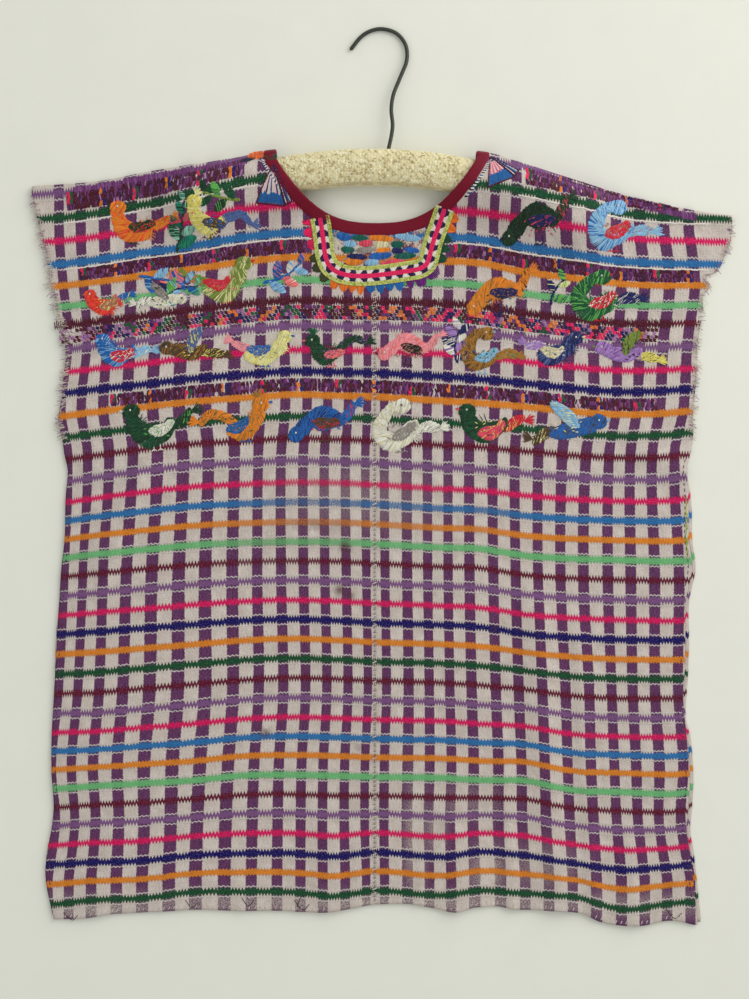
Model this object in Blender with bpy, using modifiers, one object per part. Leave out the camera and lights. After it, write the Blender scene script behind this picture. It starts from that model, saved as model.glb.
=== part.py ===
"""Huipil blouse laid flat on its crocheted padded hanger.

Two loom-width panels, each one piece from front hem over the shoulder to back hem, joined down the middle;
a bias binding round the neck hole, a woven trim round the front of the neck, a padded hanger bar between the
layers and its wire hook. The garment lies on its back: +X is across the front, +Y runs from hem to hook and
+Z points up from the surface it lies on, at Z = 0. Sizes are millimetres until the last step.
"""

import math

import bmesh
import bpy
import numpy as np
from mathutils import Vector
from mathutils.bvhtree import BVHTree

for old in list(bpy.data.objects):
    bpy.data.objects.remove(old)

MM = 0.001

# ---- driving sizes, mm -------------------------------------------------------------------------------------
CLOTH = 1.2  # wall of the hand-woven cotton
GAP = 0.3  # between pieces that meet at a seam
SEAM_X = -6.0  # centre seam
NECK_X, NECK_Y = -4.3, 289.2  # middle of the neck hole's top, where the shoulder begins to turn
NECK_A, NECK_B = 91.3, 56.8  # half width and depth of the neck hole
NECK_SIDE, NECK_BOWL = 0.78, 1.84  # how soon the scoop widens, and how straight its slopes run
BINDING_W, BINDING_T = 11.4, 2.4  # neck binding, folded over the raw edge
TRIM_W, TRIM_T, TRIM_LIFT = 18.0, 1.0, 0.45
FRONT_Z = 2.4  # middle of the front layer where it lies on the back layer
BACK_Z = CLOTH / 2
BACK_STRIP = 3.6  # the back layer shows past the front's right edge below the waist
BAR_W, BAR_H = 34.0, 22.0  # padded hanger bar, across and thick
BAR_PEAK_X, BAR_PEAK_Y, BAR_RADIUS = -8.3, 281.5, 438.0
BAR_LEFT, BAR_RIGHT = -183.0, 196.0
BAR_CLEAR = 2.9  # from the bar's top to the middle of the front layer
BAR_Z = 3.1 + BAR_H / 2  # clear of the binding's lower lip
WIRE_R = 1.8
SOCKET_DEPTH = 14.0

# Sides of the laid-out garment. Above y 140 they are the open sleeve ends, below it the side seams.
SIDES = [  # y, x_left, x_right
    (-412, -300, 291),
    (-344, -308, 287),
    (-289, -303, 283),
    (-224, -302, 279),
    (-151, -299, 281),
    (-77, -294, 284),
    (-22, -290, 282),
    (33, -293, 286),
    (79, -293, 289),
    (125, -291, 292),
    (151, -298, 296),
    (176, -305, 302),
    (197, -307, 313),
    (222, -313, 321),
    (254, -322, 322),
]
# Hem and shoulder fold, left to right.
HEM = [  # x, y
    (-305, -408),
    (-228, -402),
    (-172, -399),
    (-93, -400),
    (-49, -402),
    (-9, -396),
    (18, -394),
    (41, -397),
    (70, -402),
    (99, -396),
    (155, -398),
    (189, -404),
    (217, -413),
    (241, -413),
    (266, -409),
    (290, -413),
]
SHOULDER = [  # x, y
    (-323, 266),
    (-258, 271),
    (-212, 280),
    (-166, 286),
    (-130, 291),
    (-100, 297),
    (-5, 300),
    (96, 295),
    (128, 286),
    (160, 276),
    (197, 265),
    (234, 256),
    (293, 243),
    (323, 239),
]
# Soft folds of the front layer: a ridge from one end to the other.
FOLDS = [  # x0, y0, x1, y1, height, half_width
    (-215, 10, -262, -75, 3.6, 13),  # slanting pleat at the left waist
    (142, -120, 164, -402, 4.6, 15),  # long fold down the right side
    (66, -310, 70, -402, 3.0, 13),
    (-50, -330, -46, -400, 2.6, 13),
    (228, -340, 232, -412, 3.0, 14),
    (-246, -330, -262, -404, 2.6, 13),
    (236, 30, 282, 0, 2.8, 12),
    (292, 212, 240, 200, 2.6, 11),  # turn of the right sleeve end
    (-300, 214, -262, 206, 2.2, 11),
]
# Middle line of the neck trim, from the left end round to the right one.
TRIM_PATH = [  # x, y
    (-59.5, 249),
    (-55.6, 234),
    (-53.2, 218),
    (-51, 201.5),
    (-46, 191.5),
    (-35, 185.6),
    (-18, 183.8),
    (2, 185.2),
    (23, 188.2),
    (35, 190.4),
    (42, 195),
    (44.8, 203),
    (48.2, 216),
    (54.4, 233.4),
    (60, 249),
]
# Middle line of the hook's wire, from inside the bar to the tip.
WIRE_PATH = [  # x, y
    (4.5, 285.5),
    (7.0, 299.5),
    (9.6, 312),
    (10.6, 322),
    (9.4, 336),
    (11.4, 350),
    (17.6, 366),
    (23.6, 382),
    (22.8, 396),
    (15.4, 406.6),
    (4.0, 411.2),
    (-7.0, 410.6),
    (-18.0, 404.6),
    (-28.5, 391.9),
]


def smooth(table, at, column=1):
    """Cubic through a table's rows, by its first column."""
    rows = sorted(table)
    keys = [r[0] for r in rows]
    vals = [r[column] for r in rows]
    at = min(max(at, keys[0]), keys[-1])
    i = min(max(int(np.searchsorted(keys, at)) - 1, 0), len(keys) - 2)

    def slope(j):
        a, b = max(j - 1, 0), min(j + 1, len(keys) - 1)
        return (vals[b] - vals[a]) / (keys[b] - keys[a])

    h = keys[i + 1] - keys[i]
    t = (at - keys[i]) / h
    return (
        (2 * t**3 - 3 * t**2 + 1) * vals[i]
        + (t**3 - 2 * t**2 + t) * h * slope(i)
        + (-2 * t**3 + 3 * t**2) * vals[i + 1]
        + (t**3 - t**2) * h * slope(i + 1)
    )


def along(points, step):
    """Points a step apart on a smooth curve through the given ones."""
    p = [Vector((*q, 0)) if len(q) == 2 else Vector(q) for q in points]
    p = [2 * p[0] - p[1], *p, 2 * p[-1] - p[-2]]
    fine = []
    for i in range(1, len(p) - 2):
        for k in range(24):
            t = k / 24
            fine.append(
                0.5
                * (
                    2 * p[i]
                    + (p[i + 1] - p[i - 1]) * t
                    + (2 * p[i - 1] - 5 * p[i] + 4 * p[i + 1] - p[i + 2]) * t**2
                    + (3 * p[i] - p[i - 1] - 3 * p[i + 1] + p[i + 2]) * t**3
                )
            )
    fine.append(p[-2])
    run = [0.0]
    for a, b in zip(fine, fine[1:]):
        run.append(run[-1] + (b - a).length)
    n = max(2, round(run[-1] / step))
    return [
        Vector([np.interp(run[-1] * k / n, run, [f[c] for f in fine]) for c in range(3)])
        for k in range(n + 1)
    ]


def segment_distance(x, y, x0, y0, x1, y1):
    dx, dy = x1 - x0, y1 - y0
    t = min(max(((x - x0) * dx + (y - y0) * dy) / (dx * dx + dy * dy), 0), 1)
    return math.hypot(x - x0 - t * dx, y - y0 - t * dy)


# ---- the layers' heights -----------------------------------------------------------------------------------
def bar_line_y(x):
    return BAR_PEAK_Y + math.sqrt(BAR_RADIUS**2 - (x - BAR_PEAK_X) ** 2) - BAR_RADIUS


def bar_distance(x, y):
    """Distance in plan from the middle line of the hanger bar."""
    cx, cy = BAR_PEAK_X, BAR_PEAK_Y - BAR_RADIUS
    inset = BAR_W / 2
    lo, hi = BAR_LEFT + inset, BAR_RIGHT - inset
    angle = math.atan2(x - cx, y - cy)
    px = cx + BAR_RADIUS * math.sin(angle)
    px = min(max(px, lo), hi)
    return math.hypot(x - px, y - bar_line_y(px))


def tent(x, y):
    """How much of the bar's height the front layer still has."""
    return math.exp(-((bar_distance(x, y) / 31) ** 2.6))


def neck_reach(x, y):
    """1 on the neck hole's edge, fading to 0 about 25 mm out."""
    p, q = 2 / NECK_SIDE, 2 / NECK_BOWL
    dx, dy = max(abs(x - NECK_X), 0.01) / NECK_A, max(NECK_Y - y, 0.01) / NECK_B
    slope = math.hypot(p * dx ** (p - 1) / NECK_A, q * dy ** (q - 1) / NECK_B)
    d = max(dx**p + dy**q - 1, 0) / slope
    return math.exp(-((d / 20) ** 2))


def fold_top(x):
    return smooth(SHOULDER, x)


def back_z(x, y):
    return BACK_Z + 0.95 * neck_reach(x, y)


def front_z(x, y):
    z = FRONT_Z + 1.75 * neck_reach(x, y)
    z += (BAR_Z + BAR_H / 2 + BAR_CLEAR - FRONT_Z) * tent(x, y)
    edge = max(fold_top(x) - y, 0)
    z += 2.6 * math.exp(-((edge / 13) ** 2)) * (1 - tent(x, y))
    for x0, y0, x1, y1, height, half in FOLDS:
        d = segment_distance(x, y, x0, y0, x1, y1)
        z += height * math.exp(-((d / half) ** 2))
    return z


def fold_depth(x):
    return 3.0 + 3.0 * tent(x, fold_top(x) - 4)


def fold_start(x):
    return fold_top(x) - fold_depth(x)


def fold_point(x, turn):
    """A point of the cloth's middle where it turns over the shoulder: turn 0 is the front layer, 1 the back."""
    y0 = fold_start(x)
    zf, zb = front_z(x, y0), back_z(x, y0)
    a = math.pi * turn
    return Vector(
        (x, y0 + fold_depth(x) * math.sin(a), (zf + zb) / 2 + (zf - zb) / 2 * math.cos(a))
    )


# ---- building tools ----------------------------------------------------------------------------------------
parts = bpy.data.collections.new("huipil_blouse_on_hanger")
cutters = bpy.data.collections.new("cutters")
bpy.context.scene.collection.children.link(parts)
bpy.context.scene.collection.children.link(cutters)


def material(name, rgb, roughness, metallic=0.0):
    m = bpy.data.materials.new(name)
    m.use_nodes = True
    bsdf = m.node_tree.nodes["Principled BSDF"]
    bsdf.inputs["Base Color"].default_value = (*rgb, 1)
    bsdf.inputs["Roughness"].default_value = roughness
    bsdf.inputs["Metallic"].default_value = metallic
    m.diffuse_color = (*rgb, 1)
    return m


def grid_mesh(name, rows, closed_rows=False, closed_columns=False):
    """A quad mesh through rows of points, in mm."""
    bm = bmesh.new()
    verts = [[bm.verts.new(p * MM) for p in row] for row in rows]
    nr, nc = len(rows), len(rows[0])
    for r in range(nr if closed_rows else nr - 1):
        for c in range(nc if closed_columns else nc - 1):
            a, b = verts[r], verts[(r + 1) % nr]
            c2 = (c + 1) % nc
            bm.faces.new((a[c], a[c2], b[c2], b[c]))
    mesh = bpy.data.meshes.new(name)
    bm.to_mesh(mesh)
    bm.free()
    return mesh


def face_out(mesh):
    bm = bmesh.new()
    bm.from_mesh(mesh)
    bmesh.ops.recalc_face_normals(bm, faces=bm.faces)
    bm.to_mesh(mesh)
    bm.free()


def add(name, data, mat, collection=parts):
    ob = bpy.data.objects.new(name, data)
    if mat:
        data.materials.append(mat)
    collection.objects.link(ob)
    return ob


def curve_as_mesh(ob):
    """The curve object's shape as a closed mesh object of the same name."""
    bpy.context.view_layer.update()
    depsgraph = bpy.context.evaluated_depsgraph_get()
    mesh = bpy.data.meshes.new_from_object(ob.evaluated_get(depsgraph))
    mesh.transform(ob.matrix_world)
    bm = bmesh.new()
    bm.from_mesh(mesh)
    bmesh.ops.remove_doubles(bm, verts=bm.verts, dist=1e-6)
    bmesh.ops.recalc_face_normals(bm, faces=bm.faces)
    bm.to_mesh(mesh)
    bm.free()
    name, home = ob.name, ob.users_collection[0]
    mats = [m for m in ob.data.materials]
    bpy.data.objects.remove(ob)
    made = bpy.data.objects.new(name, mesh)
    if not mesh.materials:
        for m in mats:
            mesh.materials.append(m)
    home.objects.link(made)
    return made


def neck_curve(out, theta):
    """The neck hole's edge in plan, moved out, theta -90 at the left shoulder to 90 at the right one."""
    s, c = math.sin(theta), math.cos(theta)
    return (
        NECK_X + (NECK_A + out) * math.copysign(abs(s) ** NECK_SIDE, s),
        NECK_Y - (NECK_B + out) * max(c, 0) ** NECK_BOWL,
    )


cotton = material("woven_cotton", (0.42, 0.27, 0.45), 0.9)
satin = material("maroon_satin", (0.30, 0.02, 0.07), 0.5)
braid = material("trim_braid", (0.72, 0.10, 0.32), 0.8)
crochet = material("cream_crochet", (0.72, 0.66, 0.47), 0.75)
wire = material("dark_wire", (0.08, 0.085, 0.08), 0.4, 0.9)

# ---- neck cutter -------------------------------------------------------------------------------------------
N_NECK = 30
thetas = [math.pi * (k / N_NECK - 0.5) for k in range(N_NECK + 1)]
outline = bpy.data.curves.new("neck_cutter", "CURVE")
outline.dimensions = "2D"
outline.fill_mode = "BOTH"
outline.extrude = 30 * MM
edge = [neck_curve(BINDING_W + GAP, t) for t in thetas]
edge = [(edge[0][0], 340.0), *edge, (edge[-1][0], 340.0)]
spline = outline.splines.new("POLY")
spline.points.add(len(edge) - 1)
for p, (x, y) in zip(spline.points, edge):
    p.co = (x * MM, y * MM, 0, 1)
spline.use_cyclic_u = True
neck_cutter = curve_as_mesh(add("neck_cutter", outline, None, cutters))
neck_cutter.location.z = 14 * MM
neck_cutter.hide_render = True
neck_cutter.display_type = "WIRE"

# ---- the two panels ----------------------------------------------------------------------------------------
COLUMNS = 16
FRONT_ROWS = [0.8 * k / 21 for k in range(21)] + [0.8 + 0.2 * k / 13 for k in range(14)]
BACK_ROWS = [0.8 * k / 9 for k in range(9)] + [0.8 + 0.2 * k / 6 for k in range(7)]
FOLD_TURNS = [k / 7 for k in range(1, 7)]


def panel_point(side, t, r, layer):
    """Plan position on a panel: t runs from the centre seam to the side, r from the hem to the shoulder fold."""
    x = SEAM_X + side * t * 297
    for _ in range(6):
        hem = smooth(HEM, x) + (2.5 if layer == "back" else 0)
        y = hem + r * (fold_start(x) - hem)
        reach = smooth(SIDES, y, 1 if side < 0 else 2)
        if layer == "back":
            past = BACK_STRIP * min(max((20 - y) / 60, 0), 1) if side > 0 else -0.5
            reach += past
        x = SEAM_X + side * GAP / 2 + t * (reach - SEAM_X - side * GAP / 2)
    return x, y


for name, side in (("panel_left", -1), ("panel_right", 1)):
    rows = []
    for r in FRONT_ROWS:
        row = []
        for c in range(COLUMNS + 1):
            x, y = panel_point(side, c / COLUMNS, r, "front")
            row.append(Vector((x, y, front_z(x, y))))
        rows.append(row)
    for turn in FOLD_TURNS:
        rows.append([fold_point(p.x, turn) for p in rows[len(FRONT_ROWS) - 1]])
    for r in reversed(BACK_ROWS):
        row = []
        for c in range(COLUMNS + 1):
            x, y = panel_point(side, c / COLUMNS, r, "back")
            if r == 1:
                x = rows[len(FRONT_ROWS) - 1][c].x
                y = fold_start(x)
            row.append(Vector((x, y, back_z(x, y))))
        rows.append(row)
    panel = add(name, grid_mesh(name, rows), cotton)
    wall = panel.modifiers.new("cloth_wall", "SOLIDIFY")
    wall.thickness = CLOTH * MM
    wall.offset = 0
    panel.data.shade_smooth()

# ---- neck binding: a closed ring along the front edge, over each shoulder and along the back edge ----------
FOLD_STEPS = 7


def binding_pairs():
    """Hole-side and seam-side points of the ring, once round."""
    pairs = []
    reaches = (0.0, BINDING_W)

    def flat(theta, height):
        out = []
        for reach in reaches:
            x, y = neck_curve(reach, theta)
            out.append(Vector((x, y, height(x, y))))
        return out

    for k in range(1, N_NECK):
        pairs.append(flat(thetas[k], front_z))
    for side in (1, -1):
        turns = [k / FOLD_STEPS for k in range(FOLD_STEPS + 1)]
        if side < 0:
            turns = turns[::-1]
            for k in range(N_NECK - 1, 0, -1):
                pairs.append(flat(thetas[k], back_z))
        for turn in turns:
            pairs.append(
                [fold_point(NECK_X + side * (NECK_A + reach), turn) for reach in reaches]
            )
    return pairs


pairs = binding_pairs()
profile = [  # across, up: a flattened roll
    (-0.5, -0.2),
    (-0.42, -0.5),
    (0.40, -0.5),
    (0.5, -0.1),
    (0.5, 0.1),
    (0.40, 0.5),
    (-0.42, 0.5),
    (-0.5, 0.2),
]
rings = []
middles = [(a + b) / 2 for a, b in pairs]
for k, (a, b) in enumerate(pairs):
    tangent = middles[(k + 1) % len(pairs)] - middles[k - 1]
    across = (b - a).normalized()
    up = tangent.cross(across).normalized()
    rings.append(
        [middles[k] + across * (u * (b - a).length) + up * (v * BINDING_T) for u, v in profile]
    )
binding_mesh = grid_mesh("neck_binding", rings, closed_rows=True, closed_columns=True)
face_out(binding_mesh)
binding = add("neck_binding", binding_mesh, satin)
binding.data.shade_smooth()

# ---- neck trim: a flat woven band on the front, made from the panels' own points ---------------------------
bpy.context.view_layer.update()
depsgraph = bpy.context.evaluated_depsgraph_get()
trees = []
for name in ("panel_left", "panel_right"):
    ev = bpy.data.objects[name].evaluated_get(depsgraph)
    bm = bmesh.new()
    bm.from_mesh(ev.data)
    trees.append(BVHTree.FromBMesh(bm))
    bm.free()


def cloth_top(x, y):
    """Highest point of the panels close to x, y, in mm."""
    best = -1.0
    for ox, oy in ((0, 0), (2, 0), (-2, 0), (0, 2), (0, -2)):
        start = Vector(((x + ox) * MM, (y + oy) * MM, 0.1))
        for tree in trees:
            hit = tree.ray_cast(start, Vector((0, 0, -1)))[0]
            if hit is not None:
                best = max(best, hit.z / MM)
    return best


path = along(TRIM_PATH, 6.0)
top_rows = []
for k, p in enumerate(path):
    ahead = path[min(k + 1, len(path) - 1)] - path[max(k - 1, 0)]
    outward = Vector((ahead.y, -ahead.x, 0)).normalized()
    row = []
    for j in range(5):
        q = p + outward * TRIM_W * (j / 4 - 0.5)
        q.z = cloth_top(q.x, q.y) + TRIM_LIFT
        row.append(q)
    top_rows.append(row)
lift = Vector((0, 0, TRIM_T))
trim_rows = [row + [q + lift for q in reversed(row)] for row in top_rows]
trim_mesh = grid_mesh("neck_trim", trim_rows, closed_columns=True)
bm = bmesh.new()
bm.from_mesh(trim_mesh)
bmesh.ops.holes_fill(bm, edges=[e for e in bm.edges if e.is_boundary], sides=0)
bmesh.ops.triangulate(bm, faces=[f for f in bm.faces if len(f.verts) > 4])
bmesh.ops.recalc_face_normals(bm, faces=bm.faces)
bm.to_mesh(trim_mesh)
bm.free()
trim = add("neck_trim", trim_mesh, braid)

# The neck hole is cut out of both panels, and the trim's ends are cut along the binding.
for name in ("panel_left", "panel_right", "neck_trim"):
    cut = bpy.data.objects[name].modifiers.new("neck", "BOOLEAN")
    cut.operation = "DIFFERENCE"
    cut.object = neck_cutter

# ---- hanger bar --------------------------------------------------------------------------------------------
bar_curve = bpy.data.curves.new("hanger_bar", "CURVE")
bar_curve.dimensions = "3D"
bar_curve.bevel_depth = BAR_W / 2 * MM
bar_curve.bevel_resolution = 5
bar_curve.use_fill_caps = True
n_bar = 30
spline = bar_curve.splines.new("POLY")
spline.points.add(n_bar)
for k, p in enumerate(spline.points):
    share = 0.5 - 0.5 * math.cos(math.pi * k / n_bar)  # points closer together at the ends
    share = 0.65 * share + 0.35 * k / n_bar
    x = BAR_LEFT + (BAR_RIGHT - BAR_LEFT) * share
    end = min(x - BAR_LEFT, BAR_RIGHT - x) / (BAR_W * 0.5)
    p.co = (x * MM, bar_line_y(x) * MM, 0, 1)
    p.radius = math.sqrt(max(1 - max(1 - end, 0) ** 2, 0.12))
bar = add("hanger_bar", bar_curve, crochet)
bar.scale.z = BAR_H / BAR_W
bar.location.z = BAR_Z * MM
bar = curve_as_mesh(bar)

# ---- wire hook, lying from the bar's middle down to the surface ---------------------------------------------
wire_line = along(WIRE_PATH, 4.2)
low = WIRE_R + 0.05
y_in, y_out = wire_line[0].y, 404.0
for p in wire_line:
    share = min(max((p.y - y_in) / (y_out - y_in), 0), 1)
    p.z = BAR_Z + (low - BAR_Z) * (share * share * (3 - 2 * share) * 0.35 + share * 0.65)
hook_curve = bpy.data.curves.new("hanger_hook", "CURVE")
hook_curve.dimensions = "3D"
hook_curve.bevel_depth = WIRE_R * MM
hook_curve.bevel_resolution = 3
hook_curve.use_fill_caps = True
spline = hook_curve.splines.new("POLY")
spline.points.add(len(wire_line) - 1)
for p, q in zip(spline.points, wire_line):
    p.co = (q.x * MM, q.y * MM, q.z * MM, 1)
hook = add("hanger_hook", hook_curve, wire)

# The wire's socket in the bar: the same line, wider and a little deeper.
socket_curve = bpy.data.curves.new("socket_cutter", "CURVE")
socket_curve.dimensions = "3D"
socket_curve.bevel_depth = (WIRE_R + 0.4) * MM
socket_curve.bevel_resolution = 3
socket_curve.use_fill_caps = True
inward = (wire_line[0] - wire_line[1]).normalized()
socket_line = [wire_line[0] + inward * 0.6, *wire_line[1:8]]
spline = socket_curve.splines.new("POLY")
spline.points.add(len(socket_line) - 1)
for p, q in zip(spline.points, socket_line):
    p.co = (q.x * MM, q.y * MM, q.z * MM, 1)
socket_cutter = curve_as_mesh(add("socket_cutter", socket_curve, None, cutters))
socket_cutter.hide_render = True
socket_cutter.display_type = "WIRE"
cut = bar.modifiers.new("socket", "BOOLEAN")
cut.operation = "DIFFERENCE"
cut.object = socket_cutter
bar.data.shade_smooth()
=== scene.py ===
"""Looks of the huipil: hand-woven cloth with its stripes, weft bands, brocade and embroidery, the bound neck and
woven trim, the crocheted hanger and its wire, lying on a pale sheet and seen from straight above.
Plan sizes are millimetres in the row frame: x across, y from hem to hook, z up."""

import math
from collections import namedtuple

import bmesh
import bpy
import numpy as np
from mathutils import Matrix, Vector


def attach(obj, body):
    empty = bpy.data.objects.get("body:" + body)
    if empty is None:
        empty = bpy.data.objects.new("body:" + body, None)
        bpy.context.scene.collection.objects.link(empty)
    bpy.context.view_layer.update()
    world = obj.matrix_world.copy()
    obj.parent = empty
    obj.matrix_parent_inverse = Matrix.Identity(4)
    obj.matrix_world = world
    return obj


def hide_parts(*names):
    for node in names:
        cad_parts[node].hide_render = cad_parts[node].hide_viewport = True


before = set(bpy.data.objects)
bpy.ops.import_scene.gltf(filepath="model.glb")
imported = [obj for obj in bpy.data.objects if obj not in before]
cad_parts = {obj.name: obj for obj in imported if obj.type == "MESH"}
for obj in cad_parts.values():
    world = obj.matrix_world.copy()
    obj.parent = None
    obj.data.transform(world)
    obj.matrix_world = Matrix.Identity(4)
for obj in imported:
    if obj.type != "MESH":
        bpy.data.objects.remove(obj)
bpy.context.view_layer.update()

MM = 0.001
rng = np.random.default_rng(41)

# ============================================================ sizes, as the solids have them ==================
CLOTH = 1.2
SHEET_T = 1.0
SEAM_X = -6.0
NECK_X, NECK_Y = -4.3, 289.2
NECK_A, NECK_B = 91.3, 56.8
NECK_SIDE, NECK_BOWL = 0.78, 1.84
BINDING_W, BINDING_T = 11.4, 2.4
TRIM_W = 18.0
FRONT_Z, BACK_Z = 2.4, 0.6
BACK_STRIP = 3.6
BAR_W, BAR_H = 34.0, 22.0
BAR_PEAK_X, BAR_PEAK_Y, BAR_RADIUS = -8.3, 281.5, 438.0
BAR_LEFT, BAR_RIGHT = -183.0, 196.0
BAR_Z = 3.1 + BAR_H / 2
BAR_CLEAR = 2.9

SIDES = [  # y, x_left, x_right
    (-412, -300, 291), (-400, -303, 290), (-370, -308.5, 287), (-344, -307, 284), (-325, -303, 281), (-303, -301, 283),
    (-275, -303, 284), (-241, -303, 281.5), (-222, -302, 277), (-186, -300, 279), (-151, -299, 280), (-117, -296, 280),
    (-85, -294, 286), (-58, -291, 283), (-20, -290, 283), (5, -288, 281), (19, -291, 284), (33, -293, 287),
    (51, -297, 287), (70, -294, 288), (97, -291.5, 291), (107, -290, 291), (121, -290.5, 291), (134, -291, 293),
    (151, -298, 296), (166, -300, 296.5), (175, -304, 303), (183.5, -305, 298), (188, -306, 309), (204, -308, 317),
    (214, -311, 321), (227, -314, 323), (240, -317, 322), (256, -321, 322),
]
HEM = [  # x, y
    (-305, -408), (-275, -407), (-252, -403.5), (-228, -402), (-188, -400), (-172, -399), (-132, -400), (-93, -400),
    (-56, -401.5), (-33, -399), (-15, -395.5), (2, -394), (27, -394), (45, -397), (68, -401), (86, -397), (107, -396),
    (122, -398.5), (154, -399.5), (173, -400.5), (189, -404), (201, -410), (217, -413), (241, -413.3), (261, -409.5),
    (272, -409.5), (288, -413),
]
SHOULDER = [  # x, y
    (-323, 266), (-258, 271), (-212, 280), (-166, 286), (-130, 291), (-100, 297), (-5, 300), (96, 295), (128, 286),
    (160, 276), (197, 265), (234, 256), (293, 243), (323, 239),
]
# Soft folds of the front layer: a ridge from one end to the other.
Fold = namedtuple("Fold", "x0 y0 x1 y1 height half")
FOLDS = [
    Fold(-215, 10, -262, -75, 3.6, 13),
    Fold(142, -120, 164, -402, 4.6, 15),
    Fold(66, -310, 70, -402, 3.0, 13),
    Fold(-50, -330, -46, -400, 2.6, 13),
    Fold(228, -340, 232, -412, 3.0, 14),
    Fold(-246, -330, -262, -404, 2.6, 13),
    Fold(236, 30, 282, 0, 2.8, 12),
    Fold(292, 212, 240, 200, 2.6, 11),
    Fold(-300, 214, -262, 206, 2.2, 11),
]
# Finer creases that only the shown cloth has.
CREASES = [
    Fold(-222, -2, -232, -40, 1.1, 4.5),
    Fold(-236, -60, -262, -112, 1.6, 5),
    Fold(-203, 8, -250, -74, 1.5, 4),
    Fold(-206, 40, -218, 4, 0.8, 5),
    Fold(182, -150, 196, -400, 2.4, 7),
    Fold(112, -240, 122, -398, 2.0, 7),
    Fold(206, -250, 214, -330, 0.8, 6),
    Fold(38, -330, 34, -396, 1.0, 5),
    Fold(90, -345, 94, -396, 0.9, 5),
    Fold(-80, -350, -76, -399, 0.9, 6),
    Fold(-20, -340, -22, -394, 1.0, 5),
    Fold(-132, -360, -128, -400, 0.8, 6),
    Fold(-196, -345, -202, -400, 0.9, 6),
    Fold(-286, -180, -262, -168, 0.7, 5),
    Fold(-290, -60, -270, -50, 0.8, 5),
    Fold(262, -60, 284, -70, 0.9, 5),
    Fold(258, 60, 284, 66, 0.9, 5),
    Fold(255, 118, 292, 128, 1.2, 6),
    Fold(-290, 128, -262, 118, 1.1, 6),
    Fold(-180, 214, -128, 236, 0.8, 7),
    Fold(120, 236, 176, 214, 0.8, 7),
    Fold(-86, 208, -70, 178, 0.6, 5),
    Fold(74, 214, 62, 182, 0.6, 5),
    Fold(-250, 100, -210, 92, 0.6, 6),
    Fold(20, 60, 66, 52, 0.5, 6),
    Fold(-150, -180, -96, -186, 0.5, 7),
    Fold(20, -150, 90, -160, 0.5, 7),
    Fold(-60, -60, 10, -66, 0.5, 7),
]

# ============================================================ where the threads run ==========================
# Weft rows from the shoulder to the hem. Row 2 is the first dark green one and row 36 the last.
ROW_Y = [  # mean y of rows 2 to 36
    254.2, 231.5, 209.1, 187.8, 167.9, 150.3, 127.3, 105.6, 86.2, 64.8, 44.9, 24.6, 4.3, -15.5, -33.4, -51.3, -69.4,
    -87.2, -105.3, -123.6, -141.4, -159.4, -177.4, -195.3, -213.5, -230.9, -248.2, -264.8, -282.7, -300.0, -316.7,
    -334.5, -352.5, -369.5, -387.2,
]
BOW_X = (-292, -260, -222, -174, -125, -81, -41, -5, 54, 91, 134, 177, 220, 262, 279)
BOW = [  # row, then how far it is above its mean at each BOW_X
    (2, -16.8, -12.2, -5.3, 0.9, 12.1, 17.0, 16.4, 14.9, 12.4, 9.4, 2.9, -6.0, -12.4, -16.3, -17.2),
    (5, -12.8, -9.1, -3.6, 2.4, 9.4, 13.4, 12.6, 11.7, 10.1, 8.1, -0.6, -5.6, -10.9, -12.8, -12.3),
    (8, -11.2, -7.5, -3.5, 3.1, 7.5, 10.6, 10.3, 10.0, 8.0, 4.8, -0.7, -5.5, -9.1, -8.9, -8.0),
    (11, -9.7, -5.5, -1.6, 3.5, 7.1, 10.1, 9.1, 8.0, 4.4, 2.2, -1.2, -5.5, -8.3, -7.2, -5.4),
    (14, -10.3, -5.4, -0.2, 5.3, 7.8, 9.8, 8.9, 7.5, 3.5, 1.7, -2.4, -5.8, -7.8, -7.4, -5.2),
    (18, -6.3, -2.4, 1.2, 5.6, 8.0, 8.9, 8.6, 6.9, 3.6, 2.5, -4.2, -6.7, -7.9, -9.1, -8.6),
    (22, -4.2, -1.8, 1.1, 4.7, 8.5, 9.8, 8.3, 6.3, 4.4, 2.5, -3.8, -7.2, -9.2, -9.8, -9.6),
    (26, -4.9, -4.6, -1.0, 3.0, 7.6, 9.7, 8.6, 7.1, 5.5, 2.9, 0.0, -6.7, -9.1, -9.2, -8.9),
    (30, -4.7, -2.4, -0.2, 2.5, 7.2, 7.8, 6.8, 5.7, 5.0, 2.9, 2.4, -6.1, -8.0, -10.0, -9.0),
    (34, -4.6, -2.5, -1.8, 3.2, 5.3, 5.3, 2.7, 6.4, 2.3, 6.8, 3.4, -3.5, -9.4, -7.6, -5.9),
    (36, -6.2, -2.1, -1.4, 4.3, 5.0, 4.4, 1.1, 5.7, 1.7, 6.0, 3.2, 0.7, -10.8, -6.7, -4.9),
]
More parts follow.
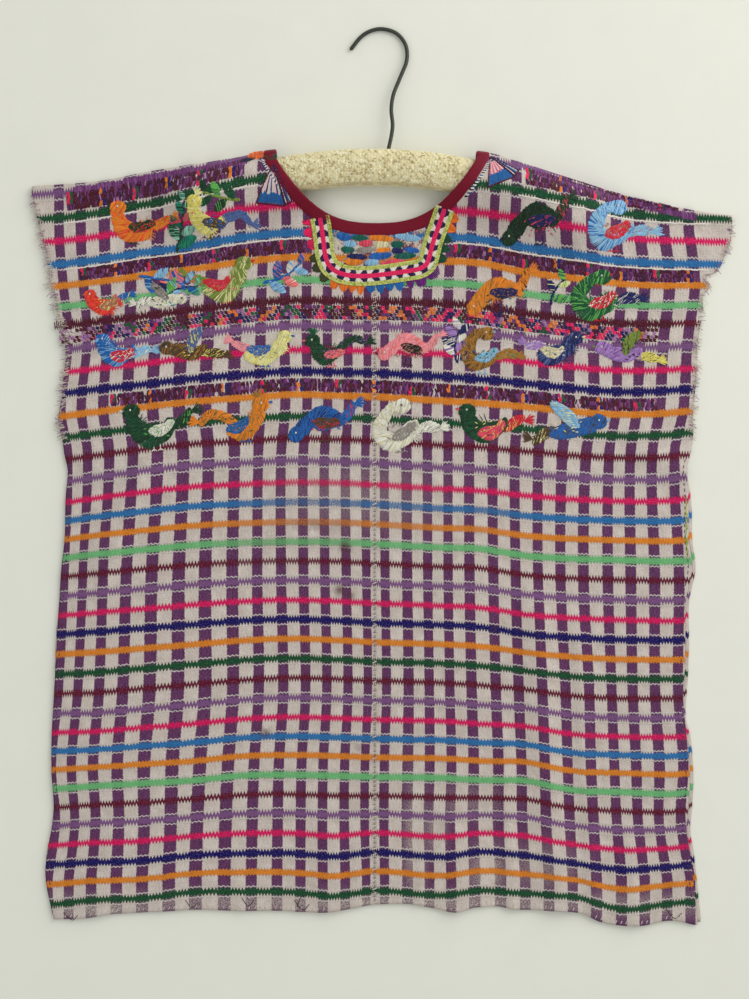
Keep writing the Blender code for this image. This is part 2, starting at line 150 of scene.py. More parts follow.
# Purple warp stripes, left to right: fourteen to a panel.
STRIPE_X = [  # mean x of stripes 0 to 27
    -295.3, -277.6, -257.7, -235.4, -211.7, -186.4, -162.2, -136.4, -113.3, -90.9, -70.5, -51.1, -31.5, -13.1,
    2.7, 24.4, 43.6, 62.9, 82.9, 106.0, 126.9, 148.9, 171.0, 193.2, 215.6, 235.7, 256.9, 278.9,
]
SWAY_STRIPE = (0, 3, 6, 9, 13, 14, 17, 20, 23, 25, 27)
SWAY = [  # y, then how far each SWAY_STRIPE is right of its mean
    (-370, -10.9, -8.1, -9.0, -4.6, -0.2, -0.2, 1.5, 5.8, 4.7, 6.7, 5.9),
    (-318, -3.8, -5.9, -7.5, -3.9, -1.7, -0.6, 0.4, 3.0, 2.1, 0.8, -3.2),
    (-266, -7.6, -7.6, -4.7, -2.9, -1.5, -0.2, 1.9, 2.3, -0.4, -1.1, -0.6),
    (-197, -1.2, -2.5, 0.1, 1.2, 1.2, 1.8, 0.3, -0.3, -1.9, -4.4, -5.5),
    (-91, 4.2, 0.7, 0.1, -0.9, -0.2, 0.5, -1.2, -3.1, -7.3, -6.1, -4.5),
    (19, 7.4, 7.3, 3.2, -1.0, -1.1, -0.4, -1.3, -4.0, -4.6, -6.5, -9.3),
    (61, 1.1, 2.3, -0.1, 3.1, 0.7, -0.5, -1.6, -1.2, 2.4, -0.7, -0.7),
    (125, 8.2, 4.1, 2.4, 2.4, 0.9, -0.1, -1.4, -0.1, 2.5, 2.4, 3.3),
    (176, 3.1, 4.8, 5.6, 2.6, 0.9, -0.1, -1.0, 2.4, 4.5, 6.7, 10.2),
    (226, -0.7, 4.8, 9.8, 3.9, 0.9, -0.1, 2.4, -4.7, -2.1, 2.2, 4.4),
    (262, -0.7, 4.8, 9.8, 3.9, 0.9, -0.1, 2.4, -4.7, -2.1, 2.2, 4.4),
]

# ============================================================ number tools ===================================


def rows_of(table, at, column=1):
    """Cubic through a table's rows by its first column, for an array of places."""
    rows = np.array(sorted(table), float)
    keys, vals = rows[:, 0], rows[:, column]
    at = np.clip(np.asarray(at, float), keys[0], keys[-1])
    i = np.clip(np.searchsorted(keys, at, side="left") - 1, 0, len(keys) - 2)
    lo, hi = np.maximum(np.arange(len(keys)) - 1, 0), np.minimum(np.arange(len(keys)) + 1, len(keys) - 1)
    slope = (vals[hi] - vals[lo]) / (keys[hi] - keys[lo])
    h = keys[i + 1] - keys[i]
    t = (at - keys[i]) / h
    return (
        (2 * t**3 - 3 * t**2 + 1) * vals[i]
        + (t**3 - 2 * t**2 + t) * h * slope[i]
        + (-2 * t**3 + 3 * t**2) * vals[i + 1]
        + (t**3 - t**2) * h * slope[i + 1]
    )


def lattice(x, y, cell, seed):
    """Smooth noise from -1 to 1 with that cell size in mm."""
    table = np.random.default_rng(seed).uniform(-1, 1, (97, 97))
    gx, gy = np.asarray(x, float) / cell + 1000, np.asarray(y, float) / cell + 1000
    ix, iy = np.floor(gx).astype(int), np.floor(gy).astype(int)
    fx, fy = gx - ix, gy - iy
    fx, fy = fx * fx * (3 - 2 * fx), fy * fy * (3 - 2 * fy)
    a, b = table[ix % 97, iy % 97], table[(ix + 1) % 97, iy % 97]
    c, d = table[ix % 97, (iy + 1) % 97], table[(ix + 1) % 97, (iy + 1) % 97]
    return (a * (1 - fx) + b * fx) * (1 - fy) + (c * (1 - fx) + d * fx) * fy


def ridge(x, y, fold):
    """Height of one fold, fading at both of its ends."""
    dx, dy = fold.x1 - fold.x0, fold.y1 - fold.y0
    t = ((x - fold.x0) * dx + (y - fold.y0) * dy) / (dx * dx + dy * dy)
    t = np.clip(t, 0, 1)
    d = np.hypot(x - fold.x0 - t * dx, y - fold.y0 - t * dy)
    return fold.height * np.exp(-((d / fold.half) ** 2))


def bar_line_y(x):
    return BAR_PEAK_Y + np.sqrt(BAR_RADIUS**2 - (x - BAR_PEAK_X) ** 2) - BAR_RADIUS


def bar_distance(x, y):
    cx, cy = BAR_PEAK_X, BAR_PEAK_Y - BAR_RADIUS
    angle = np.arctan2(x - cx, y - cy)
    px = np.clip(cx + BAR_RADIUS * np.sin(angle), BAR_LEFT + BAR_W / 2, BAR_RIGHT - BAR_W / 2)
    return np.hypot(x - px, y - bar_line_y(px))


def tent(x, y):
    return np.exp(-((bar_distance(x, y) / 31) ** 2.6))


def neck_radius(x, y):
    """About how many mm a point lies outside the neck hole's edge; below 0 inside it."""
    p, q = 2 / NECK_SIDE, 2 / NECK_BOWL
    dx, dy = np.maximum(np.abs(x - NECK_X), 0.01) / NECK_A, np.maximum(NECK_Y - y, 0.01) / NECK_B
    slope = np.hypot(p * dx ** (p - 1) / NECK_A, q * dy ** (q - 1) / NECK_B)
    return (dx**p + dy**q - 1) / slope


def neck_reach(x, y):
    return np.exp(-((np.maximum(neck_radius(x, y), 0) / 20) ** 2))


def fold_top(x):
    return rows_of(SHOULDER, x)


def back_z(x, y):
    return BACK_Z + 0.95 * neck_reach(x, y)


def front_z(x, y):
    """Middle of the front layer as the solid has it."""
    z = FRONT_Z + 1.75 * neck_reach(x, y)
    z = z + (BAR_Z + BAR_H / 2 + BAR_CLEAR - FRONT_Z) * tent(x, y)
    edge = np.maximum(fold_top(x) - y, 0)
    z = z + 2.6 * np.exp(-((edge / 13) ** 2)) * (1 - tent(x, y))
    for fold in FOLDS:
        z = z + ridge(x, y, fold)
    return z


def puckers(x, y):
    """Small unevenness that the coarse hand-woven cloth shows between its bands."""
    z = np.zeros(np.shape(x))
    for crease in CREASES:
        z = z + 1.35 * ridge(x, y, crease)
    z = z + 0.30 * lattice(x, y * 1.6, 26, 1) + 0.20 * lattice(x * 1.2, y, 11, 2) + 0.10 * lattice(x, y, 5.5, 3)
    u, v = weave(x, y)
    z = z + 0.16 * np.cos(2 * np.pi * v) - 0.10 * np.cos(2 * np.pi * u)
    z = z - 0.35 * np.exp(-(((x - SEAM_X) / 3.0) ** 2))
    return z


def surface(x, y):
    """Upper side of the front layer as it is shown."""
    return front_z(x, y) + puckers(x, y) * 0.9 + SHEET_T / 2


def fold_depth(x):
    return 3.0 + 3.0 * tent(x, fold_top(x) - 4)


def fold_start(x):
    return fold_top(x) - fold_depth(x)


# ============================================================ weave coordinates ==============================
_rows = np.arange(2, 37)
_bow = np.array(BOW, float)


def row_heights(x):
    """y of rows 0 to 37 at each x: an array of 38 by len(x)."""
    x = np.atleast_1d(np.asarray(x, float))
    at_keys = np.stack([rows_of(list(zip(BOW_X, r[1:])), x) for r in BOW])
    lean = np.where(x < BOW_X[0], (x - BOW_X[0]) * 0.06, np.where(x > BOW_X[-1], (BOW_X[-1] - x) * 0.02, 0.0))
    keys = _bow[:, 0]
    out = np.empty((38, len(x)))
    for k, row in enumerate(_rows):
        j = min(int(np.searchsorted(keys, row, side="right")) - 1, len(keys) - 2)
        t = (row - keys[j]) / (keys[j + 1] - keys[j])
        out[row] = ROW_Y[k] + at_keys[j] * (1 - t) + at_keys[j + 1] * t + lean
    out[1] = out[2] + 23.0
    out[0] = out[1] + 19.0
    out[37] = out[36] - 18.4
    return out


def stripe_places(y):
    """x of stripes -2 to 29 at each y: an array of 32 by len(y)."""
    y = np.atleast_1d(np.asarray(y, float))
    sway = np.stack([rows_of([(r[0], r[1 + k]) for r in SWAY], y) for k in range(len(SWAY_STRIPE))])
    out = np.empty((32, len(y)))
    for s in range(28):
        j = min(int(np.searchsorted(SWAY_STRIPE, s, side="right")) - 1, len(SWAY_STRIPE) - 2)
        t = (s - SWAY_STRIPE[j]) / (SWAY_STRIPE[j + 1] - SWAY_STRIPE[j])
        out[s + 2] = STRIPE_X[s] + sway[j] * (1 - t) + sway[j + 1] * t
    out[1], out[0] = out[2] - 20, out[2] - 40
    out[30], out[31] = out[29] + 21, out[29] + 42
    return out


def weave(x, y):
    """(u, v) of points: u counts purple stripes from the left, v weft rows from the shoulder."""
    shape = np.shape(x)
    x, y = np.ravel(x).astype(float), np.ravel(y).astype(float)
    u, v = np.empty(len(x)), np.empty(len(x))
    for a in range(0, len(x), 20000):
        s = slice(a, a + 20000)
        rows = row_heights(x[s])
        n = np.clip((rows > y[s]).sum(0) - 1, 0, 36)
        k = np.arange(rows.shape[1])
        v[s] = n + (rows[n, k] - y[s]) / (rows[n, k] - rows[n + 1, k])
        cols = stripe_places(y[s])
        n = np.clip((cols < x[s]).sum(0) - 1, 0, 30)
        u[s] = n - 2 + (x[s] - cols[n, k]) / (cols[n + 1, k] - cols[n, k])
    return u.reshape(shape), v.reshape(shape)


def row_y(v, x):
    """y of weft place v at x."""
    x = np.atleast_1d(np.asarray(x, float))
    v = np.broadcast_to(np.asarray(v, float), x.shape)
    rows = row_heights(x)
    n = np.clip(np.floor(v).astype(int), 0, 36)
    k = np.arange(len(x))
    return rows[n, k] + (rows[n + 1, k] - rows[n, k]) * (v - n)


# ============================================================ colours ========================================
def lin(r, g, b):
    return tuple(((c / 255) / 12.92) if c / 255 <= 0.04045 else (((c / 255) + 0.055) / 1.055) ** 2.4 for c in (r, g, b))


GROUND, GROUND_PALE = lin(222, 208, 202), lin(246, 236, 232)
PURPLE, PURPLE_PALE = lin(88, 32, 86), lin(158, 108, 152)
DYES = {
    "lavender": lin(136, 90, 146), "darkgreen": lin(0, 82, 46), "pink": lin(236, 10, 104), "sky": lin(40, 122, 190),
    "orange": lin(240, 142, 36), "lightgreen": lin(118, 200, 132), "maroon": lin(108, 4, 50), "navy": lin(4, 0, 104),
    "none": lin(196, 190, 176),
}
# Weft rows in order, from the shoulder fold to the hem.
ROW_DYES = ["none", "lavender", "darkgreen", "pink", "sky", "orange", "lightgreen", "maroon", "lavender", "pink", "navy",
            "orange", "darkgreen"] + ["maroon", "lavender", "pink", "sky", "orange", "lightgreen", "maroon", "lavender",
                                      "pink", "navy", "orange", "darkgreen"] * 2 + ["none"]
# How a row of each dye is woven, in mm: swing of the zigzag, half thickness, white lines beside it.
Band = namedtuple("Band", "swing half lines more")
BANDS = {
    "lavender": Band(1.8, 2.3, 1, 1.0), "darkgreen": Band(1.5, 2.7, 1, 0.6), "pink": Band(1.7, 2.4, 0, 0.4),
    "sky": Band(1.1, 2.9, 1, 0.4), "orange": Band(1.2, 2.8, 0, 0.3), "lightgreen": Band(1.1, 3.0, 1, 0.3),
    "maroon": Band(1.9, 2.2, 0, 0.9), "navy": Band(1.5, 2.8, 1, 0.5), "none": Band(0, -3.0, 0, 0),
}


# ============================================================ node materials =================================
class Graph:
    """A short way to write a node material."""

    def __init__(self, name, **shader):
        self.mat = bpy.data.materials.new(name)
        self.mat.use_nodes = True
        self.tree = self.mat.node_tree
        self.bsdf = self.tree.nodes["Principled BSDF"]
        for key, value in shader.items():
            self.bsdf.inputs[key.replace("_", " ")].default_value = value

    def node(self, kind, **settings):
        n = self.tree.nodes.new(kind)
        for key, value in settings.items():
            setattr(n, key, value)
        return n

    def put(self, socket, value):
        if isinstance(value, bpy.types.NodeSocket):
            self.tree.links.new(value, socket)
        elif isinstance(value, (tuple, list)) and len(value) == 3 and socket.type == "RGBA":
            socket.default_value = (*value, 1)
        else:
            socket.default_value = value

    def math(self, op, *args, clamp=False):
        n = self.node("ShaderNodeMath", operation=op, use_clamp=clamp)
        for i, a in enumerate(args):
            self.put(n.inputs[i], a)
        return n.outputs[0]

    def add(self, a, b):
        return self.math("ADD", a, b)

    def sub(self, a, b):
        return self.math("SUBTRACT", a, b)

    def mul(self, a, b):
        return self.math("MULTIPLY", a, b)

    def step(self, value, at, soft):
        """1 where value is well below at, 0 well above, soft wide."""
        n = self.node("ShaderNodeMapRange", interpolation_type="SMOOTHSTEP")
        for i, a in enumerate((value, self.sub(at, soft), self.add(at, soft), 1.0, 0.0)):
            self.put(n.inputs[i], a)
        return n.outputs[0]

    def mix(self, share, a, b, blend="MIX"):
        n = self.node("ShaderNodeMix", data_type="RGBA", blend_type=blend, clamp_factor=True)
        self.put(n.inputs[0], share)
        self.put(n.inputs[6], a)
        self.put(n.inputs[7], b)
        return n.outputs[2]

    def noise(self, vector, scale, detail=2.0, rough=0.5):
        n = self.node("ShaderNodeTexNoise")
        self.put(n.inputs["Vector"], vector)
        self.put(n.inputs["Scale"], scale)
        self.put(n.inputs["Detail"], detail)
        self.put(n.inputs["Roughness"], rough)
        return n.outputs["Fac"]

    def spread(self, value, gain, middle=0.5):
        """A noise pulled further from its middle."""
        return self.math("MULTIPLY_ADD", self.sub(value, middle), gain, 0.5, clamp=True)

    def vector(self, x, y, z=0.0):
        n = self.node("ShaderNodeCombineXYZ")
        for i, a in enumerate((x, y, z)):
            self.put(n.inputs[i], a)
        return n.outputs[0]

    def split(self, vector):
        n = self.node("ShaderNodeSeparateXYZ")
        self.put(n.inputs[0], vector)
        return n.outputs

    def attribute(self, name, output="Fac"):
        return self.node("ShaderNodeAttribute", attribute_name=name).outputs[output]

    def here(self):
        """Object coordinates in mm."""
        n = self.node("ShaderNodeVectorMath", operation="SCALE")
        self.put(n.inputs[0], self.node("ShaderNodeTexCoord").outputs["Object"])
        n.inputs["Scale"].default_value = 1000.0
        return n.outputs[0]

    def steps(self, share, colours):
        """One colour for each equal part of 0 to 1."""
        n = self.node("ShaderNodeValToRGB")
        ramp = n.color_ramp
        ramp.interpolation = "CONSTANT"
        while len(ramp.elements) < len(colours):
            ramp.elements.new(0.99)
        for k, c in enumerate(colours):
            ramp.elements[k].position = k / 32
            ramp.elements[k].color = (*c, 1)
        self.put(n.inputs[0], share)
        return n.outputs[0]

    def bump(self, height, distance, strength=1.0, normal=None):
        n = self.node("ShaderNodeBump")
        self.put(n.inputs["Height"], height)
        self.put(n.inputs["Distance"], distance)
        self.put(n.inputs["Strength"], strength)
        if normal is not None:
            self.put(n.inputs["Normal"], normal)
        return n.outputs[0]

    def done(self, colour=None, rough=None, normal=None):
        if colour is not None:
            self.put(self.bsdf.inputs["Base Color"], colour)
        if rough is not None:
            self.put(self.bsdf.inputs["Roughness"], rough)
        if normal is not None:
            self.put(self.bsdf.inputs["Normal"], normal)
        return self.mat


def cloth_material():
    g = Graph("woven_cloth", Roughness=0.88, Sheen_Weight=0.05, Sheen_Roughness=0.6)
    g.bsdf.inputs["Specular IOR Level"].default_value = 0.08
    uv = g.node("ShaderNodeUVMap", uv_map="weave").outputs[0]
    u, v, _ = g.split(uv)
    wear, stain, fade = g.attribute("wear"), g.attribute("stain"), g.attribute("fade")
    # the loom's own unevenness
    threads = g.vector(g.mul(u, 21.0), g.mul(v, 18.4))
    warp = g.noise(g.vector(g.mul(u, 30.0), g.mul(v, 2.2)), 1.0, 2.0, 0.6)
    weft = g.noise(g.vector(g.mul(u, 3.0), g.mul(v, 24.0)), 1.0, 2.0, 0.6)
    fleck = g.noise(threads, 0.9, 2.0, 0.7)
    cloud = g.noise(threads, 0.07, 3.0, 0.55)
    # warp stripes
    column = g.math("ROUND", u)
    off = g.math("ABSOLUTE", g.sub(u, column))
    own = g.noise(g.vector(g.mul(column, 3.7), 0.0), 1.0, 0.0)
    width = g.add(0.202, g.mul(own, 0.05))
    ragged = g.mul(g.sub(g.noise(g.vector(g.mul(column, 9.1), g.mul(v, 16.0)), 1.0, 1.0), 0.5), 0.06)
    stripe = g.step(g.add(off, ragged), width, 0.018)
    stripe = g.mul(stripe, g.mul(g.step(g.sub(-0.62, u), 0.0, 0.01), g.step(g.sub(u, 27.62), 0.0, 0.01)))
    # weft rows
    row = g.math("ROUND", v)
    d = g.mul(g.sub(v, row), 18.8)
    share_a = g.math("DIVIDE", g.add(row, 0.5), 32.0)
    share_b = g.math("DIVIDE", g.sub(row, 31.5), 32.0)
    late = g.math("GREATER_THAN", row, 31.5)
    dyes = [DYES[n] for n in ROW_DYES]
    kinds = [(BANDS[n].swing / 5, (BANDS[n].half + 3) / 10, (BANDS[n].lines * 0.5 + BANDS[n].more / 4)) for n in ROW_DYES]
    dye = g.mix(late, g.steps(share_a, dyes[:32]), g.steps(share_b, dyes[32:]))
    kind = g.mix(late, g.steps(share_a, kinds[:32]), g.steps(share_b, kinds[32:]))
    swing, half, code = g.split(kind)
    lines = g.math("GREATER_THAN", code, 0.499)
    more = g.mul(g.sub(code, g.mul(lines, 0.5)), 4.0)
    swing = g.mul(swing, 5.0)
    half = g.sub(g.mul(half, 10.0), 3.0)
    pitch = 0.060
    zig = g.sub(g.mul(g.math("PINGPONG", g.add(u, g.mul(weft, 0.02)), pitch), 2 / pitch), 1.0)
    wander = g.mul(g.sub(g.noise(g.vector(g.mul(u, 5.0), g.mul(row, 7.7)), 1.0, 1.0), 0.5), 1.5)
    dd = g.add(d, wander)
    solid = g.mul(stripe, more)
    reach = g.math("ABSOLUTE", g.sub(dd, g.mul(zig, g.mul(swing, g.sub(1.0, g.mul(stripe, 0.25))))))
    band = g.step(reach, g.add(half, g.add(solid, g.mul(g.sub(fleck, 0.5), 1.5))), 0.35)
    gone = g.mul(fade, g.step(fleck, 0.52, 0.05))
    band = g.mul(band, g.sub(1.0, g.mul(gone, 0.75)))
    # white broken lines on either side
    zag = g.sub(g.mul(g.math("PINGPONG", u, 0.08), 2 / 0.08), 1.0)
    beside = g.math("ABSOLUTE", g.sub(g.math("ABSOLUTE", dd), g.add(4.9, g.mul(zag, 0.6))))
    line = g.mul(g.step(beside, 0.62, 0.22), g.mul(lines, g.add(0.55, g.mul(g.spread(warp, 3.0), 0.45))))
    # put together
    grain = g.spread(fleck, 2.6)
    cords = g.spread(warp, 2.8)
    ribs = g.spread(weft, 2.8)
    pale = g.mix(g.spread(cloud, 2.2), GROUND, GROUND_PALE)
    pale = g.mix(g.mul(g.sub(1.0, grain), 0.42), pale, lin(150, 138, 118))
    pale = g.mix(g.mul(g.sub(1.0, cords), 0.25), pale, lin(160, 146, 138))
    dark = g.mix(g.mul(grain, 0.75), PURPLE, PURPLE_PALE)
    dark = g.mix(g.mul(g.sub(1.0, cords), 0.55), dark, lin(58, 22, 66))
    dark = g.mix(g.mul(g.sub(1.0, ribs), 0.25), dark, lin(58, 30, 60))
    worn = g.mul(wear, g.step(g.sub(1.0, fleck), 0.55, 0.06))
    dark = g.mix(worn, dark, lin(196, 186, 176))
    colour = g.mix(stripe, pale, dark)
    colour = g.mix(g.mul(line, g.add(0.45, g.mul(stripe, 0.5))), colour, lin(232, 226, 222))
    over = g.mix(g.mul(stripe, g.add(0.02, g.mul(g.sub(1.0, grain), 0.16))), dye, lin(40, 22, 48))
    over = g.mix(g.mul(g.sub(1.0, ribs), 0.42), over, g.mix(0.55, over, lin(20, 10, 24)))
    light = g.mul(g.step(g.sub(1.0, fleck), 0.43, 0.05), g.sub(0.20, g.mul(stripe, 0.04)))
    over = g.mix(light, over, g.mix(0.5, over, lin(236, 226, 214)))
    colour = g.mix(band, colour, over)
    colour = g.mix(g.mul(stain, g.step(cloud, 0.62, 0.12)), colour, lin(92, 60, 62))
    # relief of threads: warp cords, weft ribs, the raised bands
    height = g.add(g.mul(warp, 0.35), g.mul(weft, 0.45))
    height = g.add(height, g.mul(fleck, 0.7))
    height = g.add(height, g.mul(band, 0.55))
    height = g.add(height, g.mul(line, 0.4))
    height = g.add(height, g.mul(g.noise(g.vector(g.mul(u, 1.7), g.mul(v, 0.9)), 1.0, 3.0, 0.55), 2.2))  # crumpling
    normal = g.bump(height, 0.0016, 0.9)
    rough = g.sub(0.92, g.mul(band, 0.14))
    return g.done(colour, rough, normal)


def thread_material(name, rough, sheen=0.2, fine=1.0):
    """Dyed threads: colour from the dye attribute, with a strand's small changes in tone."""
    g = Graph(name, Sheen_Weight=sheen, Sheen_Roughness=0.5, Specular_IOR_Level=0.16)
    here = g.here()
    dye = g.attribute("dye", "Color")
    tone = g.noise(here, 1.4 * fine, 2.0, 0.6)
    colour = g.mix(g.mul(g.step(tone, 0.42, 0.1), 0.35), dye, g.mix(0.5, dye, (0.0, 0.0, 0.0)))
    colour = g.mix(g.mul(g.step(g.sub(1.0, tone), 0.38, 0.08), 0.25), colour, g.mix(0.4, colour, (1.0, 1.0, 1.0)))
    return g.done(colour, rough, g.bump(tone, 0.0003, 0.6))


def plain_material(name, base, deep, rough, scale, metallic=0.0, bump=0.0004, sheen=0.0, coat=0.0, shine=0.3):
    g = Graph(name, Metallic=metallic, Sheen_Weight=sheen, Coat_Weight=coat, Specular_IOR_Level=shine)
    here = g.here()
    tone = g.noise(here, scale, 3.0, 0.6)
    colour = g.mix(tone, deep, base)
    return g.done(colour, g.add(rough - 0.08, g.mul(tone, 0.16)), g.bump(g.noise(here, scale * 3, 2.0), bump, 0.6))


# ============================================================ mesh tools =====================================
CAD = bpy.data.collections.new("shown")
bpy.context.scene.collection.children.link(CAD)


def link(name, mesh, material, smooth=True):
    ob = bpy.data.objects.new(name, mesh)
    CAD.objects.link(ob)
    mesh.materials.append(material)
    if smooth:
        mesh.shade_smooth()
    return ob


def mesh_of(name, verts, faces):
    """verts in mm."""
    mesh = bpy.data.meshes.new(name)
    mesh.from_pydata((np.asarray(verts) * MM).tolist(), [], np.asarray(faces).tolist())
    mesh.validate()
    mesh.update()
    return mesh


def paint(mesh, colours):
    """Point colours, one to each vertex, in the attribute that thread materials read."""
    layer = mesh.color_attributes.new("dye", "FLOAT_COLOR", "POINT")
    rgba = np.ones((len(mesh.vertices), 4), np.float32)
    rgba[:, :3] = colours
    layer.data.foreach_set("color", rgba.ravel())


def grid_faces(rows, cols, closed=False):
    r, c = np.meshgrid(np.arange(rows - 1), np.arange(cols if closed else cols - 1), indexing="ij")
    r, c = r.ravel(), c.ravel()
    c2 = (c + 1) % cols
    return np.stack([r * cols + c, r * cols + c2, (r + 1) * cols + c2, (r + 1) * cols + c], axis=1)


class Threads:
    """Stitches gathered into one mesh. Each is a low arch from one plan point to another."""

    def __init__(self):
        self.p, self.q, self.w, self.h, self.lift, self.c = [], [], [], [], [], []

    def stitch(self, p, q, colour, width=1.0, high=0.45, lift=0.12):
        self.p.append(p)
        self.q.append(q)
        self.w.append(width)
        self.h.append(high)
        self.lift.append(lift)
        self.c.append(colour)

    def build(self, name, material, ground=surface, body="root"):
        p, q = np.array(self.p, float), np.array(self.q, float)
        w, h, lift = (np.array(a, float)[:, None] for a in (self.w, self.h, self.lift))
        c = np.array(self.c, float)
        n = len(p)
        along = q - p
        length = np.maximum(np.hypot(along[:, 0], along[:, 1]), 1e-6)[:, None]
        side = np.stack([-along[:, 1], along[:, 0]], axis=1) / length
        verts = np.empty((n, 4, 3, 3))
        for k, (t, wide, tall) in enumerate(((0.0, 0.55, 0.0), (0.22, 1.0, 0.85), (0.78, 1.0, 0.85), (1.0, 0.55, 0.0))):
            mid = p + along * t
            for j, (s, up) in enumerate(((-0.5, 0.0), (0.0, 1.0), (0.5, 0.0))):
                xy = mid + side * (s * wide) * w
                verts[:, k, j, :2] = xy
                verts[:, k, j, 2] = lift[:, 0] * (0.3 + 0.7 * (tall > 0)) + h[:, 0] * up * (0.35 + 0.65 * tall)
        flat = verts.reshape(-1, 3)
        flat[:, 2] += ground(flat[:, 0], flat[:, 1])
        base = np.arange(n)[:, None] * 12
        quads = grid_faces(4, 3)
        faces = (base[:, :, None] + quads[None]).reshape(-1, 4)
        mesh = mesh_of(name, flat, faces)
        paint(mesh, np.repeat(c, 12, axis=0))
        ob = link(name, mesh, material)
        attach(ob, body)
        return ob


def tone(colour, spread=0.16):
    """A strand's own shade of a dye."""
    k = 1 + rng.uniform(-spread, spread)
    return tuple(min(max(c * k, 0), 1) for c in colour)


def inside_oval(a, b, power):
    return np.abs(a) ** power + np.abs(b) ** power <= 1


def satin(threads, x, y, length, width, angle, colour, grain=90.0, power=2.0, pitch=0.66, thick=0.86, lift=0.1,
          longest=6.5, ragged=0.8, second=None):
    """An oval or leaf filled with parallel stitches. angle is the way it points, grain the stitches' angle to that."""
    a0, g0 = math.radians(angle), math.radians(angle + grain)
    ux, uy = math.cos(a0), math.sin(a0)
    gx, gy = math.cos(g0), math.sin(g0)
    reach = math.hypot(length, width) / 2
    n = int(2 * reach / pitch)
    t = np.linspace(-reach, reach, 90)
    for k in range(n + 1):
        s = -reach + k * pitch
        cx, cy = -gy * s, gx * s
        px, py = cx + gx * t, cy + gy * t
        a = (px * ux + py * uy) / (length / 2)
        b = (-px * uy + py * ux) / (width / 2)
        ok = inside_oval(a, b, power)
        if ok.sum() < 3:
            continue
        lo, hi = t[ok][0], t[ok][-1]
        lo -= rng.uniform(0, ragged)
        hi += rng.uniform(0, ragged)
        pieces = max(1, int(math.ceil((hi - lo) / longest - 0.25)))
        cuts = [lo] + [lo + (hi - lo) * (j + rng.uniform(-0.22, 0.22)) / pieces for j in range(1, pieces)] + [hi]
        for j, (c0, c1) in enumerate(zip(cuts, cuts[1:])):
            dye = colour
            if second is not None and rng.random() < second[1]:
                dye = second[0]
            j0 = rng.uniform(-0.25, 0.25)
            threads.stitch(
                (x + cx + gx * (c0 - 0.3) + gy * j0, y + cy + gy * (c0 - 0.3) - gx * j0),
                (x + cx + gx * (c1 + 0.3), y + cy + gy * (c1 + 0.3)),
                tone(dye, 0.34), thick * rng.uniform(0.85, 1.2), 0.5, lift + 0.12 * rng.random(),
            )


def spray(threads, x, y, length, angle, spread, count, colour, width=1.1, lift=0.15, start=0.0, second=None):
    """Stitches that fan out from a point."""
    for k in range(count):
        a = math.radians(angle + spread * ((k + 0.5) / count - 0.5) + rng.uniform(-3, 3))
        far = length * rng.uniform(0.78, 1.08)
        dye = second[0] if second is not None and rng.random() < second[1] else colour
        threads.stitch(
            (x + math.cos(a) * start, y + math.sin(a) * start),
            (x + math.cos(a) * far, y + math.sin(a) * far), tone(dye), width, 0.45, lift,
        )


# ============================================================ materials ======================================
CLOTH_MAT = cloth_material()
FLOSS = thread_material("embroidery_floss", 0.48, 0.06)
BRAID = thread_material("braid_threads", 0.6, 0.05)
COTTON = thread_material("sewing_thread", 0.7, 0.1)
YARN = thread_material("crochet_yarn", 0.62, 0.1)
SATIN = plain_material("maroon_satin_tape", lin(136, 10, 44), lin(98, 4, 30), 0.5, 0.5, bump=0.0006, sheen=0.04, shine=0.18)
PAD = plain_material("cream_pad", lin(244, 236, 196), lin(218, 206, 160), 0.85, 0.6)
GOLD = plain_material("gold_thread", lin(240, 214, 150), lin(130, 92, 36), 0.28, 0.9, metallic=0.9)
WIRE = plain_material("dark_steel_wire", lin(86, 90, 84), lin(48, 50, 47), 0.38, 0.8, metallic=0.75)
SHEET = plain_material("white_bed_sheet", lin(240, 241, 233), lin(234, 236, 227), 0.9, 0.02, bump=0.0002)

# ============================================================ the two panels =================================
COLS, FRONT, BACK, TURNS = 122, 276, 130, 8


def panel_points(side, layer, share):
    """Plan places of a layer's grid: share runs 0 to 1 from the hem to the shoulder."""
    t = np.linspace(0, 1, COLS + 1)[None, :] * np.ones((len(share), 1))
    r = np.asarray(share)[:, None] * np.ones((1, COLS + 1))
    x = SEAM_X + side * t * 297
    for _ in range(8):
        hem = rows_of(HEM, x) + (2.5 if layer == "back" else 0.0)
        y = hem + r * (fold_start(x) - hem)
        reach = rows_of(SIDES, y, 1 if side < 0 else 2)
        if layer == "back":
            reach = reach + (BACK_STRIP * np.clip((20 - y) / 60, 0, 1) if side > 0 else -0.5)
        start = SEAM_X + side * 0.12
        x = start + t * (reach - start)
    return x, y


def spots(x, y, table):
    out = np.zeros(np.shape(x))
    for sx, sy, rx, ry, strength in table:
        out = np.maximum(out, strength * np.exp(-(((x - sx) / rx) ** 2) - ((y - sy) / ry) ** 2))
    return out


WEAR = [  # x, y, half width, half height, strength: purple rubbed pale
    (31, -335, 9, 48, 0.9), (50, -326, 9, 22, 0.7), (98, -362, 16, 20, 0.9), (-5, -392, 300, 9, 0.75),
    (-262, -398, 60, 8, 0.9), (80, -300, 30, 14, 0.4), (-20, -20, 60, 30, 0.35), (250, -395, 60, 10, 0.6),
    (150, -360, 30, 20, 0.5),
]
STAIN = [
    (-33, -65, 5, 5, 0.9), (-38, -105, 4.5, 4.5, 0.9), (-28, -110, 3.5, 3.5, 0.8), (-107, -236, 5, 4, 0.8),
    (-60, -48, 30, 6, 0.30), (104, -140, 3, 3, 0.5), (-20, -250, 4, 4, 0.4),
]
FADE = [
    (-62, -30, 48, 30, 1.0), (20, -32, 40, 22, 0.55), (-110, -60, 40, 22, 0.5), (98, -36, 26, 16, 0.4),
]

